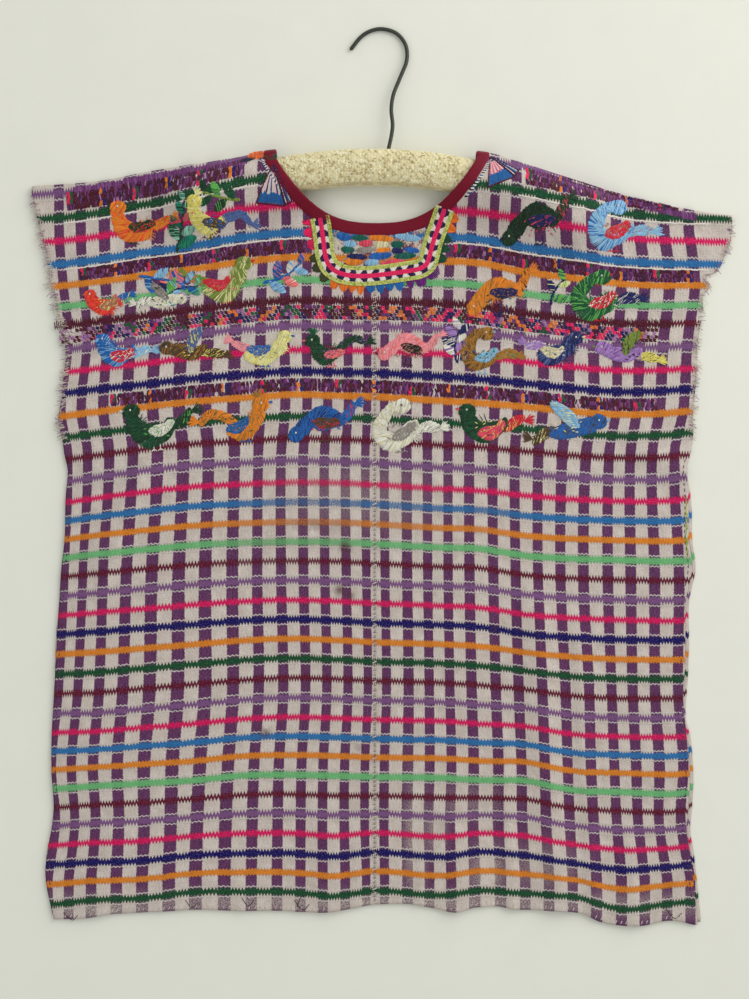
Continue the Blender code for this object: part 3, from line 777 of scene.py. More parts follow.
def clear_neck(x, y, reach):
    """Which points lie in the neck hole, and all of them with those close to its edge moved on to it."""
    hole = neck_radius(x, y) < 4.0
    near = hole & (neck_radius(x, y) > -reach)
    px, py = x.copy(), y.copy()
    for _ in range(5):
        r = neck_radius(px, py)
        gx = (neck_radius(px + 0.05, py) - r) / 0.05
        gy = (neck_radius(px, py + 0.05) - r) / 0.05
        size = np.maximum(np.hypot(gx, gy), 0.3)
        px = np.where(near, px + gx / size * (4.0 - r), px)
        py = np.where(near, py + gy / size * (4.0 - r), py)
    return hole, px, py


for name, side in (("cloth_left", -1), ("cloth_right", 1)):
    share = np.linspace(0, 1, FRONT)
    fx, fy = panel_points(side, "front", share)
    front_hole, fx, fy = clear_neck(fx, fy, 5)
    fz = front_z(fx, fy) + puckers(fx, fy) * 0.9
    fu, fv = weave(fx, fy)
    ex, zf = fx[-1], fz[-1]
    y0, depth = fold_start(ex), fold_depth(ex)
    zb = back_z(ex, y0)
    turn = [math.pi * k / TURNS for k in range(1, TURNS)]
    tx = np.stack([ex for _ in turn])
    ty = np.stack([y0 + depth * math.sin(a) for a in turn])
    tz = np.stack([(zf + zb) / 2 + (zf - zb) / 2 * math.cos(a) for a in turn])
    tu = np.stack([fu[-1] for _ in turn])
    tv = np.stack([fv[-1] - (k + 1) * 0.07 for k in range(len(turn))])
    bx, by = panel_points(side, "back", np.linspace(1, 0, BACK))
    back_hole, bx, by = clear_neck(bx, by, 9)
    bx[0], by[0] = ex, y0
    bz = back_z(bx, by)
    bu, bv = weave(bx, by)
    bv = bv + 0.34 * np.linspace(0, 1, BACK)[:, None] ** 0.5
    x, y, z = (np.concatenate(a) for a in ((fx, tx, bx), (fy, ty, by), (fz, tz, bz)))
    u, v = np.concatenate((fu, tu, bu)), np.concatenate((fv, tv, bv))
    rows = x.shape[0]
    faces = grid_faces(rows, COLS + 1)
    flat = np.stack([x.ravel(), y.ravel(), z.ravel()], axis=1)
    turn_hole = np.stack([front_hole[-1] for _ in turn])
    inside = np.concatenate((front_hole, turn_hole, back_hole)).ravel()
    faces = faces[~inside[faces].all(axis=1)]
    if side > 0:
        faces = faces[:, ::-1]
    mesh = mesh_of(name, flat, faces)
    bm = bmesh.new()
    bm.from_mesh(mesh)
    keep = bm.verts.layers.int.new("first")
    for i, vert in enumerate(bm.verts):
        vert[keep] = i
    bmesh.ops.delete(bm, geom=[vert for vert in bm.verts if not vert.link_faces], context="VERTS")
    bm.to_mesh(mesh)
    bm.free()
    first = np.zeros(len(mesh.vertices), np.int32)
    mesh.attributes["first"].data.foreach_get("value", first)
    mesh.attributes.remove(mesh.attributes["first"])
    corner = np.zeros(len(mesh.loops), np.int32)
    mesh.loops.foreach_get("vertex_index", corner)
    uv = mesh.uv_layers.new(name="weave")
    uu, vv = u.ravel()[first], v.ravel()[first]
    uv.data.foreach_set("uv", np.stack([uu[corner], vv[corner]], axis=1).astype(np.float32).ravel())
    front_only = (np.arange(len(flat)) < FRONT * (COLS + 1))[first]
    for label, table in (("wear", WEAR), ("stain", STAIN), ("fade", FADE)):
        values = spots(x.ravel()[first], y.ravel()[first], table) * front_only
        layer = mesh.attributes.new(label, "FLOAT", "POINT")
        layer.data.foreach_set("value", values.astype(np.float32))
    panel = link(name, mesh, CLOTH_MAT)
    wall = panel.modifiers.new("cloth", "SOLIDIFY")
    wall.thickness = SHEET_T * MM
    wall.offset = 0
    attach(panel, "root")
    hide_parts("panel_left" if side < 0 else "panel_right")

# ============================================================ neck binding ===================================


def neck_curve(out, theta):
    s, c = np.sin(theta), np.cos(theta)
    return (
        NECK_X + (NECK_A + out) * np.sign(s) * np.abs(s) ** NECK_SIDE,
        NECK_Y - (NECK_B + out) * np.maximum(c, 0) ** NECK_BOWL,
    )


def binding_line(reach):
    """Points once round the neck at one distance from the hole: front, right shoulder, back, left shoulder."""
    theta = np.linspace(-math.pi / 2, math.pi / 2, 121)
    out = []
    x, y = neck_curve(reach, theta)
    out.append(np.stack([x, y, front_z(x, y) + 0.9 * puckers(x, y) * (reach > 6)], axis=1)[1:-1])
    turns = np.linspace(0, 1, 15)
    for side in (1, -1):
        ex = np.full(1, NECK_X + side * (NECK_A + reach))
        y0, depth = fold_start(ex)[0], fold_depth(ex)[0]
        zf, zb = front_z(ex, np.array([y0]))[0], back_z(ex, np.array([y0]))[0]
        arc = np.array([
            (ex[0], y0 + depth * math.sin(math.pi * t), (zf + zb) / 2 + (zf - zb) / 2 * math.cos(math.pi * t))
            for t in turns
        ])
        if side > 0:
            out.append(arc)
            out.append(np.stack([x, y, back_z(x, y)], axis=1)[1:-1][::-1])
        else:
            out.append(arc[::-1])
    return np.concatenate(out)


inner, outer = binding_line(0.0), binding_line(BINDING_W)
centre = (inner + outer) / 2
tangent = np.roll(centre, -1, axis=0) - np.roll(centre, 1, axis=0)
across = outer - inner
across_n = across / np.linalg.norm(across, axis=1)[:, None]
up = np.cross(tangent, across_n)
up /= np.linalg.norm(up, axis=1)[:, None]
profile = [  # across from the hole's side, up: half thickness of the folded tape
    (1.0, 0.10), (0.985, 0.34), (0.95, 0.47), (0.86, 0.52), (0.70, 0.50), (0.50, 0.53), (0.30, 0.55), (0.14, 0.53),
    (0.05, 0.40), (0.0, 0.12), (0.0, -0.12), (0.05, -0.36), (0.14, -0.46), (0.40, -0.48), (0.70, -0.47), (0.93, -0.44),
    (1.0, -0.12),
]
n = len(inner)
walk = np.concatenate([[0], np.cumsum(np.linalg.norm(np.diff(centre, axis=0), axis=1))])
pucker = 0.35 * lattice(walk, walk * 0, 7.0, 11) + 0.25 * lattice(walk, walk * 0, 3.2, 12)
rings = np.empty((n, len(profile), 3))
for j, (a, h) in enumerate(profile):
    crimp = pucker * (0.5 if 0.05 < a < 0.95 else 0.25) * (1 if h > 0 else 0.2)
    sideways = 0.35 * lattice(walk, walk * 0 + 40, 9.0, 13) if a > 0.9 else 0.0
    rings[:, j] = inner + across * a + across_n * np.reshape(sideways + 0 * walk, (-1, 1)) + up * (h * BINDING_T + crimp)[:, None]
tape = mesh_of("neck_tape", rings.reshape(-1, 3), np.concatenate([
    grid_faces(n, len(profile)),
    np.array([((n - 1) * len(profile) + j, (n - 1) * len(profile) + j + 1, j + 1, j) for j in range(len(profile) - 1)]),
]))
tape_ob = link("neck_tape", tape, SATIN)
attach(tape_ob, "root")
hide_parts("neck_binding")

# ============================================================ neck trim ======================================
TRIM_PATH = [  # x, y
    (-59.5, 249), (-55.6, 234), (-53.2, 218), (-51, 201.5), (-46, 191.5), (-35, 185.6), (-18, 183.8), (2, 185.2),
    (23, 188.2), (35, 190.4), (42, 195), (44.8, 203), (48.2, 216), (54.4, 233.4), (60, 249),
]


def smooth_path(points, step):
    """Points a step apart on a smooth curve through the given ones."""
    p = np.array(points, float)
    p = np.vstack([2 * p[0] - p[1], p, 2 * p[-1] - p[-2]])
    t = np.linspace(0, 1, 30, endpoint=False)[:, None]
    fine = [
        0.5 * (2 * p[i] + (p[i + 1] - p[i - 1]) * t + (2 * p[i - 1] - 5 * p[i] + 4 * p[i + 1] - p[i + 2]) * t**2
               + (3 * p[i] - p[i - 1] - 3 * p[i + 1] + p[i + 2]) * t**3)
        for i in range(1, len(p) - 2)
    ]
    fine = np.vstack([*fine, p[-2:-1]])
    run = np.concatenate([[0], np.cumsum(np.linalg.norm(np.diff(fine, axis=0), axis=1))])
    at = np.linspace(0, run[-1], max(2, int(round(run[-1] / step)) + 1))
    return np.stack([np.interp(at, run, fine[:, k]) for k in range(fine.shape[1])], axis=1)


trim_line = smooth_path(TRIM_PATH, 1.2)
ahead = np.gradient(trim_line, axis=0)
outward = np.stack([ahead[:, 1], -ahead[:, 0]], axis=1) / np.hypot(ahead[:, 0], ahead[:, 1])[:, None]
under = neck_radius(trim_line[:, 0], trim_line[:, 1]) > 6.0
trim_from = float(np.argmax(under)) * float(np.hypot(*(trim_line[1] - trim_line[0])))
trim_line, outward = trim_line[under], outward[under]
NT = len(trim_line)


def trim_top(x, y):
    """Upper side of the trim's woven base."""
    return surface(x, y) + 1.0


offsets = np.linspace(-TRIM_W / 2, TRIM_W / 2, 13)
lift = np.array([0.15] + [0.85] * 11 + [0.15])
pts = trim_line[:, None, :] + outward[:, None, :] * offsets[None, :, None]
z = surface(pts[..., 0], pts[..., 1]) + lift[None, :]
base = mesh_of("trim_base", np.concatenate([pts, z[..., None]], axis=2).reshape(-1, 3), grid_faces(NT, 13))
paint(base, np.array([lin(226, 222, 190)]))
trim_ob = link("trim_base", base, BRAID)
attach(trim_ob, "root")
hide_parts("neck_trim")
walk = np.concatenate([[0], np.cumsum(np.linalg.norm(np.diff(trim_line, axis=0), axis=1))])
trim_len = walk[-1]


def trim_at(s, off):
    """Plan point at a distance along the trim and off to its outer side."""
    x = np.interp(s, walk, trim_line[:, 0])
    y = np.interp(s, walk, trim_line[:, 1])
    ox = np.interp(s, walk, outward[:, 0])
    oy = np.interp(s, walk, outward[:, 1])
    return (x + ox * off, y + oy * off)


YG, YG2, NAVY, WHITE, HOT = lin(206, 212, 118), lin(158, 172, 76), lin(34, 20, 70), lin(232, 226, 214), lin(236, 36, 104)
braid = Threads()
for sign in (-1, 1):
    for lane in (8.15, 6.25):  # yellow-green cords, laid in two slanting rows
        s = 0.0
        while s < trim_len - 1.5:
            slant = 0.9 if lane > 7 else -0.9
            braid.stitch(trim_at(s, sign * (lane - 0.85)), trim_at(s + 1.1 + slant * 0.4, sign * (lane + 0.85)),
                         tone(YG if rng.random() < 0.72 else YG2, 0.12), 1.05, 0.55, 0.05)
            s += 0.92
    s = 0.0
    while s < trim_len - 2:  # arrowheads, dark and white in turn
        for lane in (2.5, 3.5, 4.5):
            slant = (lane - 1.6) * 0.9
            a, b = trim_at(s + slant, sign * lane), trim_at(min(s + slant + 2.2, trim_len), sign * (lane + 0.3))
            shade = NAVY if ((s + 0.25 * lane) % 10.8) < 5.6 + 0.9 * (3.5 - lane) else WHITE
            braid.stitch(a, b, tone(shade, 0.14), 1.25, 0.5, 0.08)
        s += 1.3
for lane in (-1.6, -0.8, 0.0, 0.8, 1.6):
    s = rng.uniform(0, 2)
    while s < trim_len - 3:
        run = rng.uniform(3.2, 4.4)
        braid.stitch(trim_at(s, lane), trim_at(min(s + run, trim_len), lane), tone(HOT, 0.10), 1.1, 0.75, 0.15)
        s += run * 0.85
braid_ob = braid.build("trim_braid_threads", BRAID, trim_top)

# ============================================================ scallops round the trim ========================
Scallop = namedtuple("Scallop", "start end count dye")
OLIVE, DEEP = lin(58, 62, 34), lin(8, 70, 46)
SCALLOPS = [  # distance along the whole trim line: left arm, bottom, right arm
    Scallop(7, 41, 3, lin(232, 26, 96)),
    Scallop(44, 64, 3, OLIVE),
    Scallop(65, 92, 4, lin(234, 118, 28)),
    Scallop(93, 127, 4, lin(24, 104, 176)),
    Scallop(129, 154, 3, lin(106, 22, 122)),
    Scallop(155, 184, 3, DEEP),
    Scallop(185, 203, 2, lin(236, 116, 28)),
]
scallops = Threads()
for item in SCALLOPS:
    first, end = item.start - trim_from, min(item.end - trim_from, trim_len - 0.5)
    size = (end - first) / item.count
    for k in range(item.count):
        mid = first + size * (k + 0.5)
        deep = 6.6 * rng.uniform(0.8, 1.15)
        for j in range(13):
            off = (j / 12 - 0.5) * size * 0.92
            reach = deep * (1 - abs(2 * off / size) ** 2.8) + 0.9
            a = trim_at(max(mid + off, 0), TRIM_W / 2 - 0.3)
            b = trim_at(max(mid + off * 0.9, 0), TRIM_W / 2 + reach * rng.uniform(0.85, 1.1))
            if neck_radius(*(np.array([v]) for v in b))[0] > BINDING_W + 0.5:
                scallops.stitch(a, b, tone(item.dye, 0.24), 1.05, 0.65, 0.2)
scallop_ob = scallops.build("neck_scallops", FLOSS)

# ============================================================ shoulder fans ==================================
fans = Threads()
SKY_FAN, ROSE_FAN, PALE_FAN, EDGE = lin(24, 92, 158), lin(222, 120, 140), lin(222, 206, 204), lin(86, 14, 40)


def triangle(top, left, right, low_share, body, low, count, high_share=0.0, high=None):
    """A pennant of long stitches from its top to its base, its lower part in a second dye."""
    top, left, right = (np.array(v, float) for v in (top, left, right))
    for k in range(count):
        t = (k + 0.5) / count
        foot = left + (right - left) * t
        head = top + (foot - top) * 0.06
        cuts = [0.0, high_share, (1 - low_share) * 0.5 + high_share * 0.5, 1 - low_share + rng.uniform(-0.05, 0.05), 1.0]
        for i, (c0, c1) in enumerate(zip(cuts, cuts[1:])):
            if c1 - c0 < 0.02:
                continue
            dye = high if i == 0 else (low if i == 3 else body[k % len(body)])
            a, b = head + (foot - head) * max(c0 - 0.02, 0), head + (foot - head) * min(c1 + 0.02, 1)
            span = np.linalg.norm(right - left) / count
            fans.stitch(tuple(a), tuple(b), tone(dye, 0.14), max(span * (0.25 + 0.9 * c1), 0.8), 0.55, 0.15)
    for a, b, dye in ((top, left, EDGE), (left, right, EDGE), (top, right, NAVY)):
        n = int(np.linalg.norm(b - a) / 2.6)
        for k in range(n):
            fans.stitch(tuple(a + (b - a) * k / n), tuple(a + (b - a) * (k + 1.1) / n), tone(dye, 0.15), 1.5, 0.7, 0.35)


PALES = (PALE_FAN, PALE_FAN, lin(232, 190, 200), lin(30, 40, 96), PALE_FAN, lin(206, 196, 200), lin(70, 84, 140))
# one fan at each shoulder: a pennant hung from its point, and a narrow one folded against it on the outer or inner side
Fan = namedtuple("Fan", "x y deep wide lean share body")
for fan, side in ((Fan(-98, 282, 35, 26, -4, 0.28, PALES), 1), (Fan(99, 290, 26, 26, 22, 0.42, (ROSE_FAN, ROSE_FAN, PALE_FAN)), 1)):
    lean = math.radians(fan.lean)
    down, along = np.array([math.sin(lean), -math.cos(lean)]), np.array([math.cos(lean), math.sin(lean)])
    top, foot = np.array([fan.x, fan.y], float), np.array([fan.x, fan.y]) + down * fan.deep
    triangle(top, foot - along * fan.wide / 2, foot + along * fan.wide / 2, fan.share, fan.body, SKY_FAN, 13, 0.14, lin(50, 54, 106))
    triangle(top + along, foot + along * (fan.wide / 2 + 0.5) + down * -1, foot + along * (fan.wide / 2 + 6) + down * -4, 0.0,
             (PALE_FAN, NAVY, SKY_FAN), SKY_FAN, 4)
# twisted navy and white edging beside the binding
for t0, t1, count in ((-1.44, -0.90, 26), (0.80, 1.44, 34)):
    theta = np.linspace(t0, t1, count)
    ex, ey = neck_curve(BINDING_W + 0.9, theta)
    ox, oy = neck_curve(BINDING_W + 3.4, theta)
    for k in range(count - 1):
        shade = (NAVY, WHITE, lin(30, 80, 140), WHITE)[k % 4]
        fans.stitch((ex[k], ey[k]), (ox[k + 1], oy[k + 1]), tone(shade, 0.12), 1.5, 0.55, 0.25)
satin(fans, -113, 291.5, 17, 7, 10, lin(226, 104, 36), 80, lift=0.3)
satin(fans, -101, 290, 13, 8, -22, DEEP, 60, lift=0.4)
satin(fans, -121, 287.5, 14, 4, 14, lin(30, 40, 60), 70, lift=0.3)
fan_ob = fans.build("shoulder_fans", FLOSS)

# ============================================================ brocade =========================================
BITS = (lin(224, 28, 92), lin(10, 84, 52), lin(226, 122, 36), lin(30, 18, 100))
MAROON, VIOLET, PLUM, MAUVE = lin(78, 6, 34), lin(110, 50, 112), lin(58, 16, 62), lin(160, 110, 158)
brocade = Threads()
Zone = namedtuple("Zone", "x0 x1 v0 v1 dense")
LIGHTNING = [  # bands of slanting floats
    Zone(-288, -126, 1.02, 1.74, 0.97), Zone(132, 304, 1.02, 1.74, 0.97),
    Zone(-276, -70, 4.27, 4.84, 0.97), Zone(68, 288, 4.27, 4.84, 0.97),
    Zone(-248, 254, 10.30, 10.84, 0.74),
]
for z, zone in enumerate(LIGHTNING):
    x = zone.x0
    k = 0
    while x < zone.x1:
        top, low = row_y(zone.v0, x)[0], row_y(zone.v1, x)[0]
        top = min(top, fold_top(np.array([x]))[0] - 1.0)
        deep = top - low
        if deep > 3:
            if k % 2 == 0 and rng.random() < zone.dense:
                brocade.stitch((x, top), (x + 0.6, low), tone((PLUM, VIOLET, MAROON)[int(rng.integers(0, 3))], 0.25), 3.0, 0.2, 0.02)
            phase = k % 22
            lean = 1.5 if (k // 4) % 2 else -1.3
            wave = 0.7 * math.sin(k * 0.55)
            for a, b, part in ((0.0, 0.36, 0), (0.30, 0.70, 1), (0.64, 1.0, 2)):
                if rng.random() > zone.dense:
                    continue
                zig = lean * (1 if part % 2 else -1)
                pick = rng.random()
                dye = MAROON if pick < 0.46 else PLUM if pick < 0.70 else VIOLET if pick < 0.96 else MAUVE
                wide = rng.uniform(1.2, 1.9)
                if phase in (0, 1, 2, 3) and part != (k // 22) % 3:
                    dye = BITS[(2 * (k // 22) + (phase > 1)) % 4]
                    wide = 1.8
                brocade.stitch((x - zig * 0.5, low + deep * b + wave * 0.5 + rng.uniform(-0.4, 0.4)),
                               (x + zig * 0.5, low + deep * a + wave * 0.5 + rng.uniform(-0.4, 0.4)),
                               tone(dye, 0.26), wide, 0.5, 0.1 + 0.12 * rng.random())
        x += rng.uniform(1.15, 1.6) / (0.55 + 0.45 * zone.dense)
        k += 1
for x0, x1, v, off in ((-292, -66, 4.0, -5.2), (66, 300, 4.0, -5.2), (-292, -112, 2.0, -5.0), (124, 300, 2.0, -5.0)):
    x = x0
    while x < x1:
        y = row_y(v, x)[0] + off
        brocade.stitch((x, y + rng.uniform(-0.5, 0.5)), (x + 3.2, row_y(v, x + 3.2)[0] + off + rng.uniform(-0.5, 0.5)),
                       tone(lin(232, 226, 218), 0.08), 1.3, 0.5, 0.15)
        x += 2.5
for x0, x1 in ((-282, -122), (140, 290)):  # brushed violet floats along the shoulder
    x = x0
    while x < x1:
        y = min(row_y(0.86, x)[0], fold_top(np.array([x]))[0] - 6)
        brocade.stitch((x - 0.6, y + rng.uniform(2.2, 4.4)), (x + 0.6, y - rng.uniform(2.6, 4.4)),
                       tone((VIOLET, lin(132, 78, 136))[int(rng.random() < 0.4)], 0.2), rng.uniform(1.2, 1.8), 0.5, 0.1)
        x += rng.uniform(1.0, 1.5)
# maroon teeth above the many-coloured band
x = -300.0
k = 0
while x < 268:
    y = row_y(7.0, x)[0]
    up = 3.4 + 1.6 * (k % 2) + rng.uniform(-0.5, 0.6)
    brocade.stitch((x - 0.3, y + up), (x + 0.4, y - 3.6), tone(MAROON, 0.24), 1.05, 0.5, 0.12)
    if k % 2:
        brocade.stitch((x - 1.2, y - 0.8), (x + 1.3, y - 1.6), tone(MAROON, 0.2), 1.1, 0.5, 0.14)
    x += 1.85
    k += 1
# the band of blocks itself: four rows of small slanting leaves, in steps of colour
PATCH = (lin(222, 28, 92), lin(22, 84, 50), lin(222, 116, 42), lin(28, 18, 88), MAROON, PLUM, MAUVE, MAROON)
for j in range(4):
    x = -296.0 + 1.9 * (j % 2)
    k = 0
    while x < 252:
        y = row_y(7.26, x)[0] - 3.15 * j
        step = (k + (j if (k // 7) % 2 else -j)) // 2
        shade = PATCH[(step * 3 + (k // 11)) % 8]
        if rng.random() < 0.34:
            shade = (lin(222, 28, 92), VIOLET, lin(34, 22, 90))[int(rng.integers(0, 3))]
        if x < -268 or x > 240:
            shade = (MAROON, MAROON, MAUVE, lin(198, 186, 184))[int(rng.integers(0, 4))]
        for d in (-0.8, 0.8):
            brocade.stitch((x, y + d + 0.5), (x + 3.5, y + d - 0.5 + rng.uniform(-0.3, 0.3)), tone(shade, 0.22), 1.65, 0.6, 0.12)
        x += 3.7
        k += 1
for k in range(170):  # small gaps where the white ground shows
    x = rng.uniform(-290, 250)
    y = row_y(7.26, x)[0] - rng.uniform(-1.5, 11)
    brocade.stitch((x, y), (x + rng.uniform(0.8, 1.6), y - rng.uniform(0.2, 0.8)), tone(lin(206, 190, 186), 0.15), 0.8, 0.45, 0.42)
brocade_ob = brocade.build("brocade_floats", FLOSS)

# ============================================================ birds and plants ===============================
C = {
    "orange": lin(230, 134, 36), "green": lin(10, 84, 50), "forest": lin(18, 58, 34), "black": lin(26, 26, 24),
    "teal": lin(20, 134, 110), "mint": lin(150, 208, 186), "blue": lin(28, 98, 176), "navy": lin(26, 32, 92),
    "slate": lin(86, 104, 158), "ice": lin(140, 188, 222), "yellow": lin(226, 214, 110), "lemon": lin(226, 222, 160),
    "brown": lin(84, 62, 40), "gold": lin(166, 116, 42), "olive": lin(122, 142, 60), "leaf": lin(98, 176, 84),
    "red": lin(206, 32, 56), "scarlet": lin(238, 70, 44), "salmon": lin(240, 120, 120), "rose": lin(224, 72, 100),
    "pink": lin(240, 150, 160), "white": lin(228, 226, 214), "cream": lin(214, 206, 166), "grey": lin(150, 144, 138),
    "lilac": lin(168, 130, 196), "violet": lin(128, 74, 152), "tan": lin(176, 122, 96), "stain": lin(160, 112, 120),
    "tealdark": lin(10, 96, 84),
}
def limb(t, points, colour, second=None, lift=0.35, pitch=0.5, thick=0.9, slant=0.95):
    """A curved shape filled with slanting stitches. Each point is x, y and the width there."""
    path = smooth_path(points, pitch)
    way = np.gradient(path[:, :2], axis=0)
    way /= np.maximum(np.hypot(way[:, 0], way[:, 1]), 1e-6)[:, None]
    run = np.concatenate([[0], np.cumsum(np.hypot(*np.diff(path[:, :2], axis=0).T))])
    for k in range(len(path)):
        wide = path[k, 2]
        near = min(run[k], run[-1] - run[k]) / max(wide * 0.45, 0.5)
        wide = wide * math.sqrt(max(1 - (1 - min(near, 1)) ** 2, 0.06)) + rng.uniform(-0.9, 1.1)
        if wide < 0.9:
            continue
        d = way[k]
        n = np.array([-d[1], d[0]])
        cut = [-0.5, 0.5]
        if wide > 5:  # short stitches that overlap, as in long-and-short filling
            cut = [-0.5, rng.uniform(-0.32, -0.04), rng.uniform(0.04, 0.32), 0.5]
        for c0, c1 in zip(cut, cut[1:]):
            dye = second[0] if second is not None and rng.random() < second[1] else colour
            a = path[k, :2] + n * wide * c0 + d * slant * wide * c0
            b = path[k, :2] + n * wide * c1 + d * slant * wide * c1
            t.stitch(tuple(a), tuple(b), tone(dye, 0.24), thick * rng.uniform(0.9, 1.3), 0.5, lift + 0.12 * rng.random())
    for _ in range(int(run[-1] / 2.2)):  # single strands laid along the shape
        k = int(rng.integers(0, len(path)))
        off = rng.uniform(-0.36, 0.36) * path[k, 2]
        d = way[k]
        a = path[k, :2] + np.array([-d[1], d[0]]) * off
        b = a + d * rng.uniform(2.0, 4.2) + rng.uniform(-0.5, 0.5, 2)
        t.stitch(tuple(a), tuple(b), tone(colour, 0.55), 0.7, 0.45, lift + 0.3)


# Small worked birds in rows. Each pose is a design of its own in lengths of the bird, which looks left: limbs for the tail,
# body and wing as across, up, width; then the eye, the beak's direction, the crest and the feet (None where it has none).
POSES = {
    "standing": (((0.18, 0.02, 0.10), (0.36, 0.08, 0.15), (0.52, 0.16, 0.11)),
                 ((-0.32, 0.26, 0.17), (-0.25, 0.09, 0.22), (-0.06, -0.06, 0.33), (0.14, -0.04, 0.27), (0.26, 0.02, 0.13)),
                 ((-0.10, 0.03, 0.10), (0.07, 0.00, 0.19), (0.27, 0.06, 0.07)), (-0.33, 0.28), 180, None, (-0.02, -0.24)),
    "pecking": (((0.20, 0.02, 0.10), (0.34, 0.14, 0.14), (0.44, 0.28, 0.10)),
                ((-0.42, -0.13, 0.13), (-0.30, -0.01, 0.19), (-0.08, 0.09, 0.31), (0.12, 0.04, 0.28), (0.24, 0.00, 0.14)),
                ((-0.10, 0.09, 0.10), (0.05, 0.04, 0.18), (0.22, 0.00, 0.08)), (-0.39, -0.09), 215, None, (0.02, -0.20)),
    "turning": (((0.20, -0.03, 0.12), (0.36, -0.01, 0.17), (0.52, -0.06, 0.12)),
                ((0.02, 0.31, 0.15), (-0.13, 0.26, 0.15), (-0.27, 0.07, 0.21), (-0.14, -0.10, 0.31), (0.10, -0.08, 0.27), (0.24, -0.02, 0.12)),
                ((-0.14, -0.05, 0.12), (0.04, -0.03, 0.19), (0.20, 0.03, 0.07)), (0.03, 0.32), 5, None, (-0.04, -0.27)),
    "flying": (((0.18, -0.04, 0.10), (0.34, -0.08, 0.17), (0.50, -0.15, 0.15)),
               ((-0.43, 0.07, 0.15), (-0.28, 0.02, 0.19), (0.00, -0.04, 0.25), (0.22, -0.04, 0.15)),
               ((-0.08, 0.00, 0.15), (0.03, 0.17, 0.19), (0.20, 0.33, 0.09)), (-0.43, 0.08), 182, None, None),
    "crested": (((0.04, -0.02, 0.13), (0.20, 0.09, 0.12), (0.38, 0.13, 0.12), (0.53, 0.03, 0.08)),
                ((-0.34, 0.24, 0.16), (-0.28, 0.08, 0.20), (-0.12, -0.05, 0.30), (0.08, -0.04, 0.21)),
                ((-0.16, 0.00, 0.10), (-0.02, -0.04, 0.18), (0.15, -0.06, 0.07)), (-0.35, 0.25), 176, (-0.33, 0.32), (-0.10, -0.23)),
    "resting": (((0.20, 0.01, 0.13), (0.36, 0.06, 0.17), (0.48, 0.08, 0.13)),
                ((-0.32, 0.18, 0.18), (-0.21, 0.03, 0.27), (0.00, -0.06, 0.36), (0.22, -0.02, 0.21)),
                ((-0.12, -0.03, 0.15), (0.04, -0.05, 0.22), (0.22, 0.02, 0.10)), (-0.33, 0.20), 178, None, None),
}
POSE_ORDER = ("standing", "crested", "pecking", "turning", "resting", "flying")
Row = namedtuple("Row", "first pitch y long dyes")
# dyes: body, its second, wing, tail, specks
ROWS = [
    Row(-226, 74, 230, 60, (("orange", "scarlet", "forest", "orange", "red"), ("yellow", "lemon", "brown", "slate", "blue"))),
    Row(140, 74, 228, 66, (("forest", "black", "navy", "forest", "rose"), ("ice", "blue", "red", "ice", "tan"))),
    Row(-250, 48, 162, 44, (("scarlet", "red", "tan", "blue", "yellow"), ("white", "cream", "grey", "white", "black"))),
    Row(-146, 74, 174, 62, (("olive", "lemon", "red", "olive", "rose"),)),
    Row(112, 90, 166, 66, (("orange", "gold", "navy", "orange", "black"), ("green", "leaf", "red", "navy", "white"))),
    Row(-242, 67, 114, 56, (("blue", "ice", "red", "ice", "white"), ("brown", "gold", "slate", "brown", "yellow"),
                            ("lemon", "yellow", "blue", "pink", "grey"), ("forest", "green", "salmon", "forest", "violet"),
                            ("pink", "salmon", "black", "pink", "tan"), ("gold", "brown", "ice", "gold", "teal"),
                            ("navy", "slate", "cream", "lilac", "white"), ("lilac", "violet", "olive", "yellow", "black"))),
    Row(-206, 76, 46, 66, (("forest", "green", "white", "forest", "leaf"), ("orange", "gold", "blue", "orange", "green"),
                           ("blue", "navy", "brown", "blue", "red"), ("white", "cream", "grey", "white", "grey"),
                           ("forest", "green", "rose", "red", "yellow"), ("blue", "brown", "ice", "brown", "lemon"))),
]


